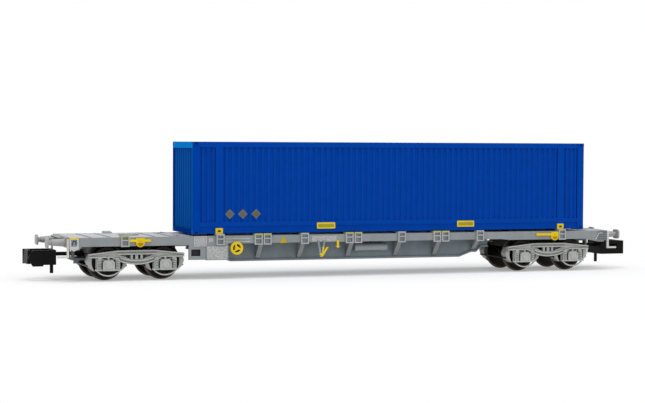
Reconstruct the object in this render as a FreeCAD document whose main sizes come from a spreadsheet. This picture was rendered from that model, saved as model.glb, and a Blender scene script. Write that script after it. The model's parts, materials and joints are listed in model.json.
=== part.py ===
import FreeCAD, Part
import math
import os

import Sketcher
from FreeCAD import Placement, Rotation, Vector

# Container flatcar, model at 1:160. X runs along the wagon, Y across it, Z up.
# The origin lies midway between the bogies, on the surface that the wheel flanges stand on.
# "near" is the -Y side, "left" the -X end.

SIZES = (
    ("length_over_buffers", 123.4, "buffer face to buffer face"),
    ("frame_length", 115.6, "headstock face to headstock face"),
    ("frame_width", 16.6, "outside of one side sill to outside of the other"),
    ("frame_top", 8.5, "top of sills and decks"),
    ("sill_depth", 1.5, "side sill, top to bottom edge"),
    ("sill_wall", 0.55, "side sill web"),
    ("sill_flange", 1.3, "side sill top flange, from its outer face inward"),
    ("cap_thickness", 0.5, "top flanges and caps of the frame"),
    ("sill_end_drop", 0.85, "how much deeper the sill is at the headstock"),
    ("sill_end_reach", 2.0, "length of that deep end, right"),
    ("sill_over_bogie", 1.7, "side sill depth over the bogies"),
    ("sill_step_start", 1.5, "where the sill starts to deepen, beyond the girder's end"),
    ("sill_step_end", 3.5, "where it has its depth over the bogies"),
    ("sill_slope", 3.5, "slope from there to the deep end, right"),
    ("sill_box_reach", 1.9, "length of the deep end, left"),
    ("sill_box_slope", 0.5, "slope to the deep end, left"),
    ("girder_middle", 4.35, "centre of a fish-belly web from the wagon's middle"),
    ("girder_web", 0.5, "fish-belly web"),
    ("girder_flange", 1.3, "width of the girder's flanges"),
    ("girder_foot", 0.35, "thickness of the girder's bottom flange"),
    ("girder_length", 62.8, "fish-belly girder, end to end"),
    ("belly_length", 49.6, "straight bottom of the fish belly"),
    ("belly_bottom", 3.25, "height of the fish belly's bottom"),
    ("haunch_bottom", 4.2, "height of the short flat behind the belly's slope"),
    ("haunch_out", 2.7, "slope beyond the belly's straight bottom"),
    ("haunch_flat", 1.2, "short flat behind the slope"),
    ("haunch_rise", 5.25, "height of the girder's ends"),
    ("haunch_slope", 1.1, "slope up to those ends"),
    ("bearer_pitch_inner", 10.45, "first cross bearer from the wagon's middle"),
    ("bearer_pitch_middle", 19.2, "second cross bearer"),
    ("bearer_pitch_outer", 28.0, "third cross bearer"),
    ("bearer_wall", 0.5, "plate of cross bearers and outriggers"),
    ("bearer_cap", 1.6, "width of their top caps along the wagon"),
    ("outrigger_tip", 0.9, "outrigger depth at the side sill"),
    ("outrigger_edge", 0.9, "width of the flange along an outrigger's slope"),
    ("outrigger_edge_depth", 0.3, "thickness of that flange"),
    ("deck_thickness", 0.6, "end deck"),
    ("headstock_wall", 0.8, "headstock, front to back"),
    ("headstock_depth", 1.95, "headstock, top to bottom"),
    ("buffer_spacing", 10.94, "buffer centre to buffer centre"),
    ("buffer_height", 7.55, "height of buffer centres"),
    ("buffer_head", 0.97, "half height of the buffer head"),
    ("buffer_head_half", 1.2, "half width of the buffer head"),
    ("buffer_head_corner", 0.4, "cut corners of the buffer head"),
    ("buffer_head_thickness", 0.35, "rim of the buffer head"),
    ("buffer_sleeve", 0.6, "buffer sleeve radius at its outer end"),
    ("buffer_plunger", 0.5, "buffer plunger radius"),
    ("buffer_foot", 0.95, "half width of the buffer's base plate"),
    ("buffer_foot_thickness", 0.3, "that base plate"),
    ("buffer_sleeve_root", 0.82, "buffer sleeve radius at its base plate"),
    ("buffer_sleeve_length", 2.9, "buffer sleeve and base plate, out from the headstock"),
    ("bogie_spacing", 88.75, "pivot to pivot"),
    ("wheelbase", 11.25, "axle to axle in a bogie"),
    ("flange_radius", 3.69, "wheel flange"),
    ("tread_radius", 2.875, "wheel tread"),
    ("wheel_gap", 7.4, "back of one wheel to back of the other"),
    ("wheel_width", 2.2, "whole wheel"),
    ("flange_width", 0.6, "wheel flange"),
    ("flange_tip", 0.35, "flat of the flange's tip and its bevel"),
    ("flange_bevel", 0.3, "bevel on the flange's back, on the radius"),
    ("tread_taper", 0.1, "fall of the tread from flange to face, on the radius"),
    ("rim_depth", 0.6, "rim under the tread, on the radius"),
    ("web_set_back", 0.5, "wheel web behind the rim's face"),
    ("axle_radius", 0.75, "axle between the wheels"),
    ("axle_shoulder", 0.1, "thick part of the axle beyond the wheel"),
    ("journal_radius", 0.45, "axle ends in their bearings"),
    ("journal_clearance", 0.06, "bearing, on the radius"),
    ("axle_tip", 7.0, "axle end from the wagon's middle"),
    ("side_frame_inside", 6.5, "bogie side frame from the wagon's middle"),
    ("side_frame_wall", 0.65, "bogie side frame plate"),
    ("side_frame_length", 18.9, "bogie side frame"),
    ("side_frame_crown", 5.95, "top of the side frame over its middle"),
    ("side_frame_crown_half", 3.6, "half length of that top"),
    ("side_frame_end_top", 5.3, "top of the side frame at its ends"),
    ("side_frame_end_bottom", 4.55, "underside of the side frame's arms"),
    ("side_frame_belly", 3.15, "lowest point of the side frame's curved belly"),
    ("belly_reach", 4.9, "where the belly's curve leaves the arms, from the bogie's middle"),
    ("rib_depth", 0.3, "ribs on the side frame's face"),
    ("rib_width", 0.24, "those ribs, seen from the side"),
    ("inner_rib_rise", 0.62, "second belly rib above the first"),
    ("inner_rib_reach", 3.3, "half length of the second belly rib"),
    ("window_top", 5.1, "top of the side frame's holes"),
    ("window_top_reach", 3.9, "half length of the rib over the holes"),
    ("window_inner", 1.2, "triangular hole, inner edge from the bogie's middle"),
    ("window_outer", 3.4, "triangular hole, outer tip"),
    ("window_floor", 1.05, "holes' lowest point above the side frame's belly"),
    ("slot_inner", 0.28, "slot between the triangular holes, inner edge"),
    ("slot_outer", 0.75, "slot, outer edge"),
    ("guard_half_width", 2.35, "axle guard on each side of the axle"),
    ("guard_bottom", 2.05, "bottom of the axle guards"),
    ("guard_corner", 0.3, "cut corners of the guards' spring blocks"),
    ("guide_gap", 0.22, "gap between axle box and spring block"),
    ("spring_width", 0.85, "spring block beside the axle box"),
    ("spring_depth", 0.4, "spring block, out from the side frame"),
    ("keeper_height", 0.3, "bar under the axle box"),
    ("keeper_overhang", 0.25, "that bar beyond the guard"),
    ("keeper_depth", 0.5, "that bar, out from the side frame"),
    ("strap_bottom", 0.95, "lowest point of the strap that follows the wheel"),
    ("strap_width", 0.26, "that strap, seen from the side"),
    ("strut_half_width", 0.16, "strut on top of the axle box"),
    ("strut_hole_reach", 1.0, "holes beside that strut, outer edge from the axle"),
    ("strut_hole_height", 0.28, "height of those holes"),
    ("axle_end_gap", 0.12, "axle end to the bottom of its bearing"),
    ("brake_gap", 0.2, "brake block to tread"),
    ("brake_top", 5.0, "top of a brake block's hanger"),
    ("brake_top_reach", 3.55, "that top from the axle, outer edge"),
    ("brake_tip_reach", 4.0, "the hanger's point from the axle"),
    ("brake_tip_height", 3.9, "height of that point"),
    ("brake_heel_reach", 3.65, "outer edge of the block's foot from the axle"),
    ("brake_heel_height", 2.75, "height where the foot turns in"),
    ("brake_toe_reach", 2.7, "end of the block's foot from the axle"),
    ("brake_toe_height", 1.95, "height of that end"),
    ("brake_root", 1.9, "inner edge of the block's blank, inside the wheel's circle"),
    ("axle_box_drop", 0.62, "axle box centre below the axle"),
    ("axle_box_corner", 0.4, "cut corners of an axle box"),
    ("axle_box_half", 1.15, "half width of an axle box"),
    ("axle_box_half_height", 1.02, "half height of an axle box"),
    ("axle_box_depth", 0.75, "axle box, out from the side frame"),
    ("axle_cover", 0.6, "radius of the round cover on an axle box"),
    ("axle_cover_depth", 0.15, "that cover, out from the box"),
    ("beam_half_width", 3.3, "bogie centre beam, half width"),
    ("beam_top", 6.8, "top of the bogie centre beam"),
    ("beam_bottom", 5.2, "underside of the bogie centre beam"),
    ("beam_half_length", 8.9, "bogie centre beam, half length"),
    ("beam_end_half_width", 2.5, "bogie centre beam, half width at its ends"),
    ("beam_shoulder", 7.6, "where the centre beam starts to taper"),
    ("box_lug", 0.6, "lug under the coupling box"),
    ("box_lug_length", 0.9, "that lug along the wagon"),
    ("window_margin", 0.45, "solid left at each end of the coupling box's side windows"),
    ("transom_half", 1.4, "bogie transom, half width along the wagon"),
    ("transom_top", 5.9, "top of the transom arms"),
    ("pivot_radius", 0.9, "pivot screw"),
    ("pivot_clearance", 0.06, "pivot hole, on the radius"),
    ("pivot_gap", 0.08, "bolster to bogie, and screw head to bogie"),
    ("pivot_head", 1.7, "pivot screw head radius"),
    ("pivot_head_thickness", 0.5, "pivot screw head"),
    ("screw_cover", 0.2, "pivot screw's end below the deck"),
    ("bolster_half_length", 1.5, "bolster, half length along the wagon"),
    ("bolster_half_width", 3.4, "bolster, half width"),
    ("box_start", 8.1, "coupling box, inner end from the bogie's middle"),
    ("box_end", 11.7, "coupling box, outer end from the bogie's middle"),
    ("box_half_width", 2.5, "coupling box, half width"),
    ("box_below", 1.2, "coupling box underside below the coupling's shank"),
    ("box_above", 1.45, "coupling box top above the coupling's shank"),
    ("box_wall", 0.3, "coupling box walls"),
    ("box_floor", 0.45, "coupling box floor and roof"),
    ("mouth_half_width", 1.05, "half width of the box's mouth"),
    ("tail_half_length", 1.2, "coupling tail, from its pivot"),
    ("tail_half_width", 1.5, "coupling tail"),
    ("tail_half_height", 0.6, "coupling tail"),
    ("shank_half", 0.35, "half height of the coupling's shank"),
    ("shank_half_width", 0.55, "half width of the coupling's shank"),
    ("coupling_pivot", 9.9, "coupling pivot from the bogie's middle"),
    ("coupling_height", 5.05, "height of the coupling's shank and pivot"),
    ("coupling_reach", 64.75, "coupling front from the wagon's middle"),
    ("coupling_back", 59.25, "back of the coupling head"),
    ("coupling_half_width", 3.0, "coupling head, half width"),
    ("head_above", 0.9, "top of the coupling head above its shank"),
    ("head_below", 1.95, "underside of the coupling head below its shank"),
    ("coupling_wall", 0.7, "bars of the coupling head"),
    ("front_bar_lift", 0.2, "underside of the front bar above the head's"),
    ("front_bar_lean", 0.15, "how far its top edge is cut back"),
    ("shank_root", 0.5, "shank's length inside the head"),
    ("cheek_pad", 0.2, "raised pad on the solid cheek"),
    ("cheek_pad_end", 3.0, "end of that pad, from the coupling's front"),
    ("cheek_heel", 0.25, "heel under the pad"),
    ("cheek_nose", 0.95, "length of the solid cheek's point"),
    ("cheek_window_start", 1.5, "hole in the open cheek, from the coupling's front"),
    ("cheek_window_end", 3.6, "its other end"),
    ("cheek_window_floor", 1.0, "its bottom above the coupling's underside"),
    ("release_pin_radius", 0.35, "release pin under the coupling"),
    ("release_pin_bottom", 1.3, "lower end of the release pin"),
    ("release_pin_root", 0.3, "that pin's length inside the head"),
    ("container_left", -33.36, "front wall of the container"),
    ("container_length", 85.72, "45 ft container"),
    ("container_width", 15.24, "container width"),
    ("container_height", 18.15, "container height"),
    ("container_seat", 8.82, "underside of the container"),
    ("container_wall", 0.5, "corrugated wall, without its corrugation"),
    ("corrugation_depth", 0.25, "side corrugation"),
    ("corrugation_pitch", 1.25, "side corrugation"),
    ("front_rib_depth", 0.35, "front wall corrugation"),
    ("front_rib_pitch", 1.66, "front wall corrugation"),
    ("roof_rib_depth", 0.12, "roof corrugation"),
    ("roof_rib_pitch", 2.5, "roof corrugation"),
    ("roof_wall", 0.5, "roof sheet, without its corrugation"),
    ("sheet_set_back", 0.1, "sheets behind the faces of posts and rails"),
    ("top_rail", 1.05, "container top rail depth"),
    ("bottom_rail", 2.35, "container bottom rail depth"),
    ("rail_lift", 0.15, "underside of the bottom rail above the container's"),
    ("rail_groove_start", 0.55, "lower edge of the bottom rail's groove, from the container's underside"),
    ("rail_groove_end", 1.5, "upper edge of that groove"),
    ("rail_groove_depth", 0.15, "that groove"),
    ("rail_wall", 0.9, "container rails, across"),
    ("corner_post", 1.45, "corner post along the wagon"),
    ("fitting_spacing", 74.9, "40 ft fitting to 40 ft fitting"),
    ("fitting_left", -27.95, "left-hand 40 ft fittings"),
    ("fitting_width", 1.5, "40 ft fitting and its post along the wagon"),
    ("fitting_height", 1.2, "yellow part of a 40 ft fitting"),
    ("fitting_middle", 7.2, "fittings' centre from the wagon's middle"),
    ("casting_height", 0.75, "corner casting"),
    ("casting_relief", 0.06, "how far castings stand out from posts"),
    ("casting_eye", 0.3, "half width of a casting's opening"),
    ("casting_eye_rise", 0.2, "half height of that opening"),
    ("casting_eye_depth", 0.35, "depth of that opening"),
    ("floor_lift", 0.3, "cross members' underside above the container's"),
    ("floor_member", 0.4, "width of a floor cross member"),
    ("floor_member_depth", 0.7, "height of a floor cross member"),
    ("floor_wall", 0.5, "container floor"),
    ("end_header", 1.25, "header over the container's ends"),
    ("end_sill", 1.0, "sill under the container's ends"),
    ("door_recess", 0.5, "doors behind the rear portal's face"),
    ("door_wall", 0.45, "door leaf"),
    ("door_gap", 0.05, "half the gap between the doors"),
    ("door_rail", 0.6, "door edges and rails"),
    ("door_hollow", 0.15, "depth of the door panels"),
    ("hinge_reach", 0.5, "hinge, from the door's outer edge"),
    ("hinge_height", 0.45, "hinge, top to bottom"),
    ("hinge_depth", 0.25, "hinge, out from the door"),
    ("lock_rod_outer", 4.85, "outer lock rods from the container's middle"),
    ("lock_rod_inner", 1.9, "inner lock rods from the container's middle"),
    ("lock_handle_length", 1.6, "handle of a lock rod"),
    ("lock_handle_start", 6.5, "underside of the handles above the container's"),
    ("lock_handle_height", 0.3, "handle, top to bottom"),
    ("lock_rod", 0.18, "lock rod radius"),
    ("spigot_radius", 0.22, "container spigot"),
    ("spigot_reach", 0.55, "spigot above the container's underside"),
    ("spigot_hole", 0.3, "hole in a fitting for its spigot"),
    ("spigot_head_room", 0.15, "hole in a fitting beyond its spigot's end"),
    ("panel_start", 26.3, "side panel, inner edge from the wagon's middle"),
    ("panel_end", 34.25, "side panel, outer edge"),
    ("panel_bottom", 3.9, "underside of the side panel"),
    ("panel_hole", 1.85, "length of the side panel's hole"),
    ("panel_hole_height", 1.3, "height of that hole"),
    ("panel_hole_lift", 0.75, "hole above the panel's underside"),
    ("panel_hole_margin", 0.45, "hole from the panel's outer edge"),
    ("panel_hole_depth", 0.4, "depth of that hole"),
    ("data_plate_length", 4.5, "raised blank plate on the side panel"),
    ("data_plate_drop", 0.35, "top edge of that plate below the sill"),
    ("data_plate_overhang", 0.1, "that plate's lower edge below the panel"),
    ("data_plate_proud", 0.15, "that plate, out from the sill"),
    ("handwheel_place", 24.7, "handwheel from the wagon's middle"),
    ("handwheel_height", 6.1, "height of the handwheel's axis"),
    ("handwheel_arm", 0.4, "half height of the arm that holds the handwheel"),
    ("handwheel_arm_set_back", 0.2, "that arm behind the sill's face"),
    ("handwheel_gap", 0.35, "handwheel to the sill's face"),
    ("handwheel_radius", 1.28, "handwheel"),
    ("handwheel_rim", 0.45, "width of the handwheel's rim"),
    ("handwheel_spoke", 0.35, "handwheel's thickness, and its spokes"),
    ("handwheel_hub", 0.42, "radius of the handwheel's hub"),
    ("lever_left", -44.0, "left-hand changeover lever"),
    ("lever_right", 45.2, "right-hand changeover lever"),
    ("lever_short", 2.1, "lever bar each side of its middle, left"),
    ("lever_long", 4.3, "lever bar towards the wagon's middle, right"),
    ("lever_tail", 0.85, "lever bar towards the wagon's end, right"),
    ("lever_height", 7.6, "underside of the lever bars"),
    ("lever_lobe", 0.85, "radius of the plate under a lever"),
    ("lever_thickness", 0.35, "levers, out from the sill"),
    ("lever_bar", 0.5, "height of the lever bars"),
    ("lever_plate_drop", 0.4, "plate below a lever bar"),
    ("lever_plate_rise", 0.75, "top of that plate above the bar's underside"),
    ("lever_lobe_drop", 0.15, "centre of its round bottom below the bar"),
    ("hanger_place", 6.95, "brake shaft hanger from the wagon's middle"),
    ("hanger_half", 0.85, "half width of its top"),
    ("hanger_root", 7.3, "height of its top"),
    ("hanger_apex", 4.4, "height of its point"),
    ("hanger_bar", 0.35, "width of its two legs"),
    ("hanger_foot", 0.3, "half width of its point"),
    ("empty_lever_top", 5.45, "upper end of the short lever, from the wagon's middle"),
    ("empty_lever_rise", 6.0, "height of that end"),
    ("pointer_place", 3.44, "pointer from the wagon's middle"),
    ("pointer_half", 0.2, "half width of the pointer's stem"),
    ("pointer_head", 0.45, "half width of the pointer's head"),
    ("pointer_bottom", 5.75, "height of the pointer's tip"),
    ("tank_start", 1.2, "air reservoir, left end"),
    ("tank_length", 7.0, "air reservoir"),
    ("tank_radius", 0.75, "air reservoir"),
    ("tank_height", 5.7, "air reservoir axis"),
    ("tank_gap", 0.2, "air reservoir to the girder"),
    ("tank_strap", 0.4, "width of its straps"),
    ("tank_strap_inset", 0.5, "straps from its ends"),
    ("tank_strap_proud", 0.05, "straps beyond the tank, top and bottom"),
    ("cylinder_height", 6.2, "brake cylinder axis"),
    ("cylinder_radius", 1.3, "brake cylinder"),
    ("cylinder_length", 4.4, "brake cylinder"),
    ("cylinder_push_rod", 0.32, "radius of its push rod"),
    ("corner_bar", 0.4, "headstock corner bars"),
    ("corner_bar_bottom", 4.7, "lower end of the corner bars"),
    ("corner_bar_top", 8.3, "upper end of the corner bars"),
    ("corner_bar_reach", 60.0, "end of their feet from the wagon's middle"),
    ("corner_bar_foot", 0.35, "thickness of those feet"),
    ("grating_reach", 1.15, "end grating, out from the headstock"),
    ("grating_half", 3.9, "half length of the end grating"),
    ("grating_top", 8.45, "top of the end grating"),
    ("grating_bar", 0.28, "bars of the end grating"),
    ("bracket_width", 1.65, "spigot bracket along the wagon"),
    ("bracket_proud", 0.4, "spigot bracket out from the sill"),
    ("bracket_bar", 0.25, "bars of a spigot bracket"),
    ("bracket_top", 8.9, "top of the spigot brackets"),
    ("bracket_plate", 8.8, "top of the plate that a spigot stands on"),
    ("bracket_bottom", 6.7, "lower edge of the spigot brackets"),
    ("bracket_pair", 0.1, "half the gap between brackets in a pair"),
    ("bracket_pin", 0.16, "radius of the pin across a bracket"),
    ("bracket_pin_height", 7.9, "height of that pin"),
    ("spigot_seat", 0.33, "plate beyond a spigot's middle"),
    ("hook_box_left", 57.75, "box on the sill's left end, outer edge from the wagon's middle"),
    ("hook_box_right", 56.0, "inner edge of that box"),
    ("hook_box_shoulder", 6.45, "height of the box's lower corners"),
    ("hook_box_bottom", 5.95, "height of the box's lowest point"),
    ("hook_box_top", 8.6, "top of that box"),
    ("hook_box_rim", 0.3, "rim round the box's sunk middle"),
    ("hook_box_middle", 6.9, "lower edge of that middle"),
    ("hook_box_depth", 0.15, "depth of that middle"),
    ("hook_box_proud", 0.3, "box, out from the sill"),
)


class Size:
    """A number together with the sheet expression that works it out."""

    def __init__(self, value, text):
        self.value = float(value)
        self.text = text

    def __float__(self):
        return self.value

    def __add__(self, other):
        return Size(self.value + float(other), f"({self.text} + {written(other)})")

    def __radd__(self, other):
        return Size(float(other) + self.value, f"({written(other)} + {self.text})")

    def __sub__(self, other):
        return Size(self.value - float(other), f"({self.text} - {written(other)})")

    def __rsub__(self, other):
        return Size(float(other) - self.value, f"({written(other)} - {self.text})")

    def __mul__(self, other):
        return Size(self.value * float(other), f"({self.text} * {written(other)})")

    __rmul__ = __mul__

    def __truediv__(self, other):
        return Size(self.value / float(other), f"({self.text} / {written(other)})")

    def __neg__(self):
        return Size(-self.value, f"(0 - {self.text})")


def written(size):
    """The expression of a size, or a plain number as text."""
    return size.text if isinstance(size, Size) else repr(float(size))


doc = FreeCAD.newDocument("container_flatcar")
sheet = doc.addObject("Spreadsheet::Sheet", "Sizes")
for row, (alias, value, note) in enumerate(SIZES, start=1):
    sheet.set(f"A{row}", alias)
    sheet.set(f"B{row}", str(value))
    sheet.set(f"C{row}", note)
    sheet.setAlias(f"B{row}", alias)
doc.recompute()


class Cells:
    """The sheet's cells by alias."""

    def __getattr__(self, alias):
        return Size(sheet.get(alias), f"Sizes.{alias}")


c = Cells()

# Sides of rods too thin to need a round section, and of small round rims.
THIN = 8
RIM = 24

# How many of each there are.
DOOR_PANELS = 4
FLOOR_MEMBERS = 20
GRATING_SLATS = 9

# Places worked out from the driving sizes.
frame_end = c.frame_length / 2
sill_face = c.frame_width / 2
sill_bottom = c.frame_top - c.sill_depth
web_inside = sill_face - c.sill_wall
flange_inside = sill_face - c.sill_flange
cap_bottom = c.frame_top - c.cap_thickness
girder_outside = c.girder_middle + c.girder_web / 2
girder_inside = c.girder_middle - c.girder_web / 2
girder_flange_outside = c.girder_middle + c.girder_flange / 2
girder_flange_inside = c.girder_middle - c.girder_flange / 2
girder_end = c.girder_length / 2
haunch_floor = c.haunch_bottom + c.girder_foot
belly_floor = c.belly_bottom + c.girder_foot
deck_bottom = c.frame_top - c.deck_thickness
deck_end = frame_end - c.headstock_wall
screw_top = deck_bottom - c.screw_cover
pivot_x = c.bogie_spacing / 2
axle_x = c.wheelbase / 2
bearing_radius = c.journal_radius + c.journal_clearance
container_right = c.container_left + c.container_length
container_face = c.container_width / 2
container_top = c.container_seat + c.container_height
container_inside = container_face - c.rail_wall
portal_bottom = c.container_seat + c.end_sill
portal_top = container_top - c.end_header
fitting_right = c.fitting_left + c.fitting_spacing
side_frame_face = c.side_frame_inside + c.side_frame_wall
box_bottom = c.coupling_height - c.box_below
box_top = c.coupling_height + c.box_above
head_bottom = c.coupling_height - c.head_below
head_top = c.coupling_height + c.head_above

nodes = []


# ---------------------------------------------------------------- document helpers

def bind(owner, path, size):
    """Tie one property of an object to the sheet."""
    owner.setExpression(path, written(size))


def place(owner, x=0, y=0, z=0):
    """Put an object somewhere by sizes."""
    for axis, size in zip("xyz", (x, y, z)):
        bind(owner, f".Placement.Base.{axis}", size)
    return owner


def box(name, x, y, z):
    """A Part::Box from a low and a high value on each axis."""
    made = doc.addObject("Part::Box", name)
    for side, (low, high) in zip(("Length", "Width", "Height"), (x, y, z)):
        bind(made, side, high - low)
    return place(made, x[0], y[0], z[0])


def rod(name, axis, radius, start, end, across, sides=0):
    """A round rod along one axis, or one with flat sides; across gives the other two coordinates."""
    made = doc.addObject("Part::Prism" if sides else "Part::Cylinder", name)
    if sides:
        made.Polygon = sides
    bind(made, "Circumradius" if sides else "Radius", radius)
    bind(made, "Height", end - start)
    turn = {
        "x": Rotation(Vector(0, 1, 0), 90),
        "y": Rotation(Vector(1, 0, 0), -90),
        "z": Rotation(),
    }[axis]
    made.Placement = Placement(Vector(), turn)
    spot = list(across)
    spot.insert("xyz".index(axis), start)
    return place(made, *spot)


def cone(name, first, last, start, end, across):
    """A Part::Cone along X, from its first radius to its last; across gives Y and Z."""
    made = doc.addObject("Part::Cone", name)
    bind(made, "Radius1", first)
    bind(made, "Radius2", last)
    bind(made, "Height", end - start)
    made.Placement = Placement(Vector(), Rotation(Vector(0, 1, 0), 90))
    return place(made, start, *across)


def cut(name, base, *tools):
    """The base with the tools taken out."""
    made = doc.addObject("Part::Cut", name)
    made.Base = base
    made.Tool = tools[0] if len(tools) == 1 else fuse(name + "_tools", *tools)
    return made


def fuse(name, *shapes):
    """One solid from shapes that touch or overlap."""
    made = doc.addObject("Part::MultiFuse", name)
    made.Shapes = list(shapes)
    made.Refine = True
    return made


def gather(name, shapes):
    """One node from separate solids."""
    made = doc.addObject("Part::Compound", name)
    made.Links = list(shapes)
    return made


def mirror(name, source, normal):
    """The source reflected through the wagon's middle plane with this normal."""
    made = doc.addObject("Part::Mirroring", name)
    made.Source = source
    made.Normal = normal
    return made


def turned(name, source):
    """The source turned half round about the wagon's vertical middle axis."""
    made = gather(name, [source])
    made.Placement = Placement(Vector(), Rotation(Vector(0, 0, 1), 180))
    return made


ACROSS = Vector(0, 1, 0)
ALONG = Vector(1, 0, 0)


def node(made):
    """Keep an object as one of the wagon's sub-parts; its Label names its file."""
    nodes.append(made)
    return made


def body(name):
    return doc.addObject("PartDesign::Body", name)


def sketch_on(owner, name, plane, height):
    """A sketch on one of the body's origin planes, lifted along that plane's normal."""
    made = owner.newObject("Sketcher::SketchObject", name)
    origin = [f for f in owner.Origin.OriginFeatures if f.Role == plane + "_Plane"][0]
    made.AttachmentSupport = [(origin, "")]
    made.MapMode = "FlatFace"
    bind(made, ".AttachmentOffset.Base.z", height)
    return made


def hold_point(sketch, edge, end, u, v):
    """Dimension one end of an edge from the sketch's origin."""
    for kind, other_axis, size in (("DistanceX", -2, u), ("DistanceY", -1, v)):
        if float(size) == 0:
            sketch.addConstraint(Sketcher.Constraint("PointOnObject", edge, end, other_axis))
            continue
        index = sketch.addConstraint(Sketcher.Constraint(kind, -1, 1, edge, end, float(size)))
        bind(sketch, f"Constraints[{index}]", size)


def outline(sketch, corners):
    """A closed outline. A corner is (u, v), or (u, v, radius) where the edge that leaves it is an
    arc: its centre is to the left of the way round if the radius is positive, else to the right."""
    ends = []
    count = len(corners)
    for here, there in zip(corners, corners[1:] + corners[:1]):
        start = Vector(float(here[0]), float(here[1]), 0)
        stop = Vector(float(there[0]), float(there[1]), 0)
        if len(here) == 2:
            edge = sketch.addGeometry(Part.LineSegment(start, stop), False)
            ends.append((edge, 1, 2))
            continue
        radius = float(here[2])
        chord = stop - start
        left = Vector(-chord.y, chord.x, 0).normalize()
        rise = math.sqrt(radius ** 2 - chord.Length ** 2 / 4)
        centre = (start + stop) / 2 + left * math.copysign(rise, radius)
        angles = [math.atan2(p.y - centre.y, p.x - centre.x) for p in (start, stop)]
        if radius < 0:
            angles.reverse()
        if angles[1] < angles[0]:
            angles[1] += 2 * math.pi
        circle = Part.Circle(centre, Vector(0, 0, 1), abs(radius))
        edge = sketch.addGeometry(Part.ArcOfCircle(circle, *angles), False)
        ends.append((edge, 1, 2) if radius > 0 else (edge, 2, 1))
        index = sketch.addConstraint(Sketcher.Constraint("Radius", edge, abs(radius)))
        bind(sketch, f"Constraints[{index}]", here[2] if radius > 0 else 0 - here[2])
    for number in range(count):
        edge, first, last = ends[number]
        following = ends[(number + 1) % count]
        sketch.addConstraint(Sketcher.Constraint("Coincident", edge, last, following[0], following[1]))
        hold_point(sketch, edge, first, corners[number][0], corners[number][1])


def slab(owner, name, plane, corners, low, high):
    """A pad of the outline from low to high along the plane's axis. The XZ plane faces -Y."""
    sketch = sketch_on(owner, name + "_outline", plane, 0 - high if plane == "XZ" else low)
    outline(sketch, corners)
    pad = owner.newObject("PartDesign::Pad", name)
    pad.Profile = sketch
    bind(pad, "Length", high - low)
    sketch.Visibility = False
    return pad


def opening(owner, name, plane, corners, low, high):
    """A pocket of the outline from low to high along the plane's axis."""
    sketch = sketch_on(owner, name + "_outline", plane, 0 - low if plane == "XZ" else high)
    outline(sketch, corners)
    pocket = owner.newObject("PartDesign::Pocket", name)
    pocket.Profile = sketch
    bind(pocket, "Length", high - low)
    return pocket


def spun(owner, name, corners, height):
    """The outline turned about an axis along Y at this height: u runs along Y, v out from the axis."""
    sketch = sketch_on(owner, name + "_outline", "YZ", 0)
    bind(sketch, ".AttachmentOffset.Base.y", height)
    outline(sketch, corners)
    turn = owner.newObject("PartDesign::Revolution", name)
    turn.Profile = sketch
    turn.ReferenceAxis = (sketch, ["H_Axis"])
    turn.Angle = 360
    return turn


def root(size):
    """The square root of a size."""
    return Size(math.sqrt(size.value), f"sqrt({size.text})")


def rectangle(left, right, bottom, top):
    """The corners of an upright rectangle."""
    return [(left, bottom), (right, bottom), (right, top), (left, top)]


def both_ways(half):
    """The outline's right half, bottom to top, with its mirror image added."""
    return half + [(0 - u, v) for u, v in reversed(half)]


# ---------------------------------------------------------------- underframe

def side_sill():
    """L-section sill: a web with a short deep end, left, and a longer one, under a top flange."""
    sill = body("side_sill_near")
    end_bottom = sill_bottom - c.sill_end_drop
    bogie_bottom = c.frame_top - c.sill_over_bogie
    step_start = girder_end + c.sill_step_start
    step_end = girder_end + c.sill_step_end
    left_deep = c.sill_box_reach - frame_end
    right_deep = frame_end - c.sill_end_reach
    web = [
        (0 - deck_end, end_bottom),
        (left_deep, end_bottom),
        (left_deep + c.sill_box_slope, bogie_bottom),
        (0 - step_end, bogie_bottom),
        (0 - step_start, sill_bottom),
        (step_start, sill_bottom),
        (step_end, bogie_bottom),
        (right_deep - c.sill_slope, bogie_bottom),
        (right_deep, end_bottom),
        (deck_end, end_bottom),
        (deck_end, c.frame_top),
        (0 - deck_end, c.frame_top),
    ]
    slab(sill, "sill_web", "XZ", web, 0 - sill_face, 0 - web_inside)
    flange = rectangle(0 - deck_end, deck_end, cap_bottom, c.frame_top)
    slab(sill, "sill_top_flange", "XZ", flange, 0 - web_inside, 0 - flange_inside)
    return sill


def belly_girder():
    """Fish-belly I-beam: web, top flange, and a foot that follows the web's lower edge."""
    girder = body("belly_girder_near")
    belly_end = c.belly_length / 2
    haunch = belly_end + c.haunch_out
    step = haunch + c.haunch_flat
    rise = step + c.haunch_slope
    lower = [
        (belly_end, c.belly_bottom),
        (haunch, c.haunch_bottom),
        (step, c.haunch_bottom),
        (rise, c.haunch_rise),
        (girder_end, c.haunch_rise),
    ]
    web = both_ways(lower + [(girder_end, cap_bottom)])
    slab(girder, "girder_plate", "XZ", web, 0 - girder_outside, 0 - girder_inside)
    raised = [(u, v + c.girder_foot) for u, v in reversed(lower)]
    foot = both_ways(lower + raised)
    slab(girder, "girder_foot_strip", "XZ", foot, 0 - girder_flange_outside, 0 - girder_flange_inside)
    cap = both_ways([(girder_end, cap_bottom), (girder_end, c.frame_top)])
    slab(girder, "girder_top_flange", "XZ", cap, 0 - girder_flange_outside, 0 - girder_flange_inside)
    return girder


def bearer_places():
    """Where cross bearers and outriggers stand along the wagon."""
    steps = (c.bearer_pitch_inner, c.bearer_pitch_middle, c.bearer_pitch_outer)
    return [0 - step for step in reversed(steps)] + [0] + list(steps)


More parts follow.
